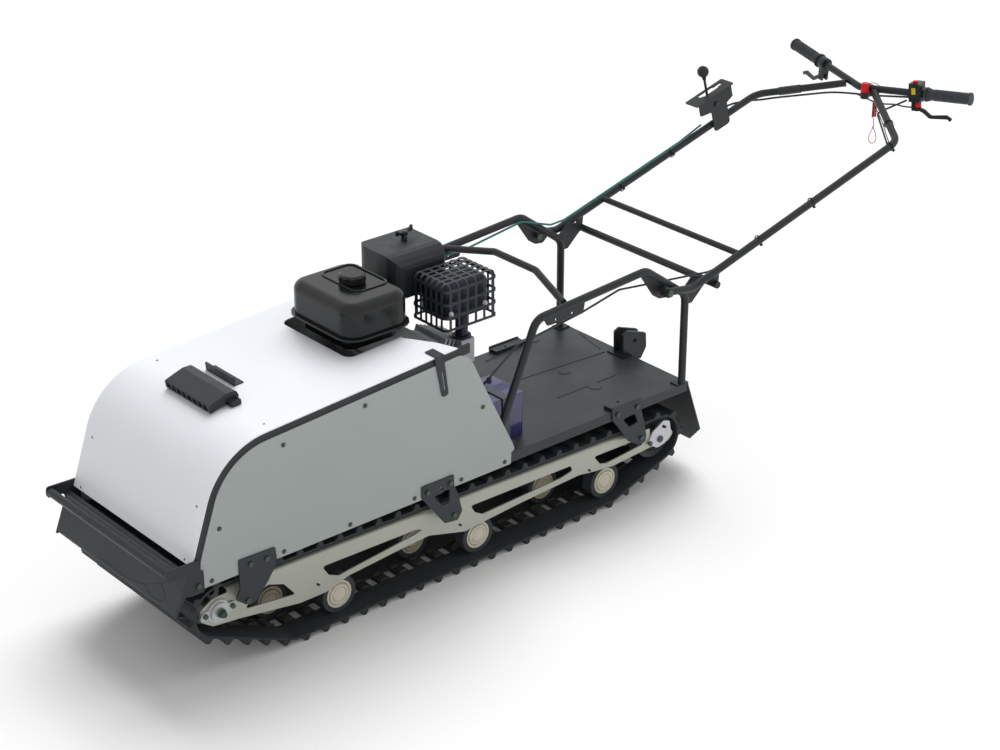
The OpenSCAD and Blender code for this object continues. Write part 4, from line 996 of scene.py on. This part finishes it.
sleeve = round_line("cable_sleeve", sleeve_route, SLEEVE_WIDE, lead_black, 24)
fasten(sleeve, "handle")

# The switch block carries a red push button on top, a blank yellow plate towards the nose
# and a red stop by the lever; all are moulded and pressed in.
BAR_MIDDLE = Vector((-1.306, 0, 0.900))
BAR_TIP = Vector((-1.3941, 0.346, 0.933))
BLOCK_FROM_TIP = 0.190
bar_along = (BAR_TIP - BAR_MIDDLE).normalized()
bar_aft = Vector((0, 0, 1)).cross(bar_along).normalized()
bar_down = bar_aft.cross(bar_along)
block_foot = BAR_TIP - bar_along * BLOCK_FROM_TIP


def on_block(down, aft, along):
    """A place on the switch block, measured from its foot on the bar."""
    return block_foot + bar_down * down + bar_aft * aft + bar_along * along


button = drum("block_button", 24, 0.008, 0.006)
pick(button, looks_up)
bpy.ops.mesh.inset(thickness=0.002, depth=0)
push((0, 0, 0.0012))
soften(button, 0.0008, 2)
button = set_down(button, "block_button", [
    facing(on_block(-0.034, -0.006, 0.017), -bar_down),
    facing(on_block(0.030, -0.012, 0.030), -bar_aft),
])
put_on(button, stop_red, "handle")
plate = brick("block_plate", (0.020, 0.013, 0.0012), (0, 0, 0.0006))
pick(plate, looks_up)
bpy.ops.mesh.inset(thickness=0.0016, depth=0)
push((0, 0, 0.0012), 0.9)
soften(plate, 0.0004, 1)
plate = set_down(plate, "block_plate", [facing(on_block(-0.012, -0.022, 0.018), -bar_aft, 1.7)])
put_on(plate, moulded("label_yellow", linear(226, 200, 30), 0.4), "handle")

# Raised rings stand round both rubber grips for hold, at equal steps from the outer end. They
# are moulded in one with the grips.
RINGS_A_GRIP = 14
FIRST_RING = 0.012
RING_STEP = 0.0075
RING_RADIUS = 0.017
RING_HALF_THICK = 0.0011
ring = fresh("grip_ring", bpy.ops.mesh.primitive_torus_add, major_radius=RING_RADIUS,
             minor_radius=RING_HALF_THICK, major_segments=32, minor_segments=6)
bpy.ops.object.mode_set(mode="OBJECT")
ring_places = []
for side in (-1, 1):
    tip = Vector((BAR_TIP.x, side * BAR_TIP.y, BAR_TIP.z))
    along = (tip - BAR_MIDDLE).normalized()
    for count in range(RINGS_A_GRIP):
        ring_places.append(facing(tip - along * (FIRST_RING + count * RING_STEP), along))
grip_rings = set_down(ring, "grip_rings", ring_places)
bpy.ops.object.shade_smooth()
put_on(grip_rings, grip_rubber, "handle")


# The studio: a wide white floor with soft shadows, a pale sky all round, a broad key light
# from behind on the right, and two large lamps that lift the nose and the tail.
FLOOR_SIZE = 60
FLOOR_GLOW = 0.04
SKY_LIGHT = 0.44
KEY_LIGHT = 2.4
KEY_FROM = (-2.2, -1.8, 3.9)
KEY_SPREAD = math.radians(46)
LAMP_SIZE = 2.6
floor_data = bpy.data.meshes.new("floor")
half = FLOOR_SIZE / 2
corners = [(-half, -half, 0), (half, -half, 0), (half, half, 0), (-half, half, 0)]
floor_data.from_pydata(corners, [], [(0, 1, 2, 3)])
floor = bpy.data.objects.new("floor", floor_data)
bpy.context.scene.collection.objects.link(floor)


def seen_directly(tree):
    """One where a camera, mirror or glass ray looks, zero where light gathers."""
    path = tree.nodes.new("ShaderNodeLightPath")
    seen = path.outputs["Is Camera Ray"]
    for ray in ("Is Glossy Ray", "Is Transmission Ray"):
        either = tree.nodes.new("ShaderNodeMath")
        either.operation = "MAXIMUM"
        tree.links.new(seen, either.inputs[0])
        tree.links.new(path.outputs[ray], either.inputs[1])
        seen = either.outputs[0]
    return seen


def choose(tree, share, first, second, output):
    """Ends a tree in a blend of two shaders: the second shows where the share is one."""
    blend = tree.nodes.new("ShaderNodeMixShader")
    for number, socket in enumerate((share, first, second)):
        tree.links.new(socket, blend.inputs[number])
    tree.links.new(blend.outputs[0], tree.nodes[output].inputs[0])


def white_floor():
    """Matt white paint that glows a little where it is looked at."""
    ground = Finish("floor_white")
    cloud = ground.noise(0.6, 2)
    colour = ground.mix((0.94, 0.94, 0.94), (0.97, 0.97, 0.97), cloud)
    material = ground.shade(base_color=colour, roughness=0.9)
    glow = ground.node("ShaderNodeEmission", {}, {}).out()
    share = Value(ground, seen_directly(ground.tree)) * FLOOR_GLOW
    choose(ground.tree, share.socket, ground.shader.outputs[0], glow.socket, "Material Output")
    return material


floor_data.materials.append(white_floor())

sky = bpy.data.worlds.new("studio")
bpy.context.scene.world = sky
sky.use_nodes = True
dim = sky.node_tree.nodes["Background"]
dim.inputs["Color"].default_value = (1, 1, 1, 1)
dim.inputs["Strength"].default_value = SKY_LIGHT
full = sky.node_tree.nodes.new("ShaderNodeBackground")
full.inputs["Color"].default_value = (1, 1, 1, 1)
looked_at = seen_directly(sky.node_tree)
choose(sky.node_tree, looked_at, dim.outputs[0], full.outputs[0], "World Output")


def soft_lamp(name, place, aim, watts):
    """A large square lamp that no shiny surface mirrors."""
    data = bpy.data.lights.new(name, "AREA")
    data.shape = "SQUARE"
    data.size = LAMP_SIZE
    data.energy = watts
    lamp = bpy.data.objects.new(name, data)
    lamp.matrix_world = (
        Matrix.Translation(Vector(place))
        @ (Vector(aim) - Vector(place)).to_track_quat("-Z", "Y").to_matrix().to_4x4()
    )
    lamp.visible_glossy = False
    bpy.context.scene.collection.objects.link(lamp)


key_data = bpy.data.lights.new("key_light", "SUN")
key_data.angle = KEY_SPREAD
key_data.energy = KEY_LIGHT
key_light = bpy.data.objects.new("key_light", key_data)
key_light.matrix_world = Vector(KEY_FROM).to_track_quat("Z", "Y").to_matrix().to_4x4()
key_light.visible_glossy = False
bpy.context.scene.collection.objects.link(key_light)
soft_lamp("nose_lamp", place=(4.6, 2.4, 3.2), aim=(0.8, 0, 0.4), watts=14)
soft_lamp("tail_lamp", place=(-4.2, 3.0, 3.6), aim=(-0.6, 0, 0.5), watts=44)
bpy.context.scene.view_settings.view_transform = "Standard"
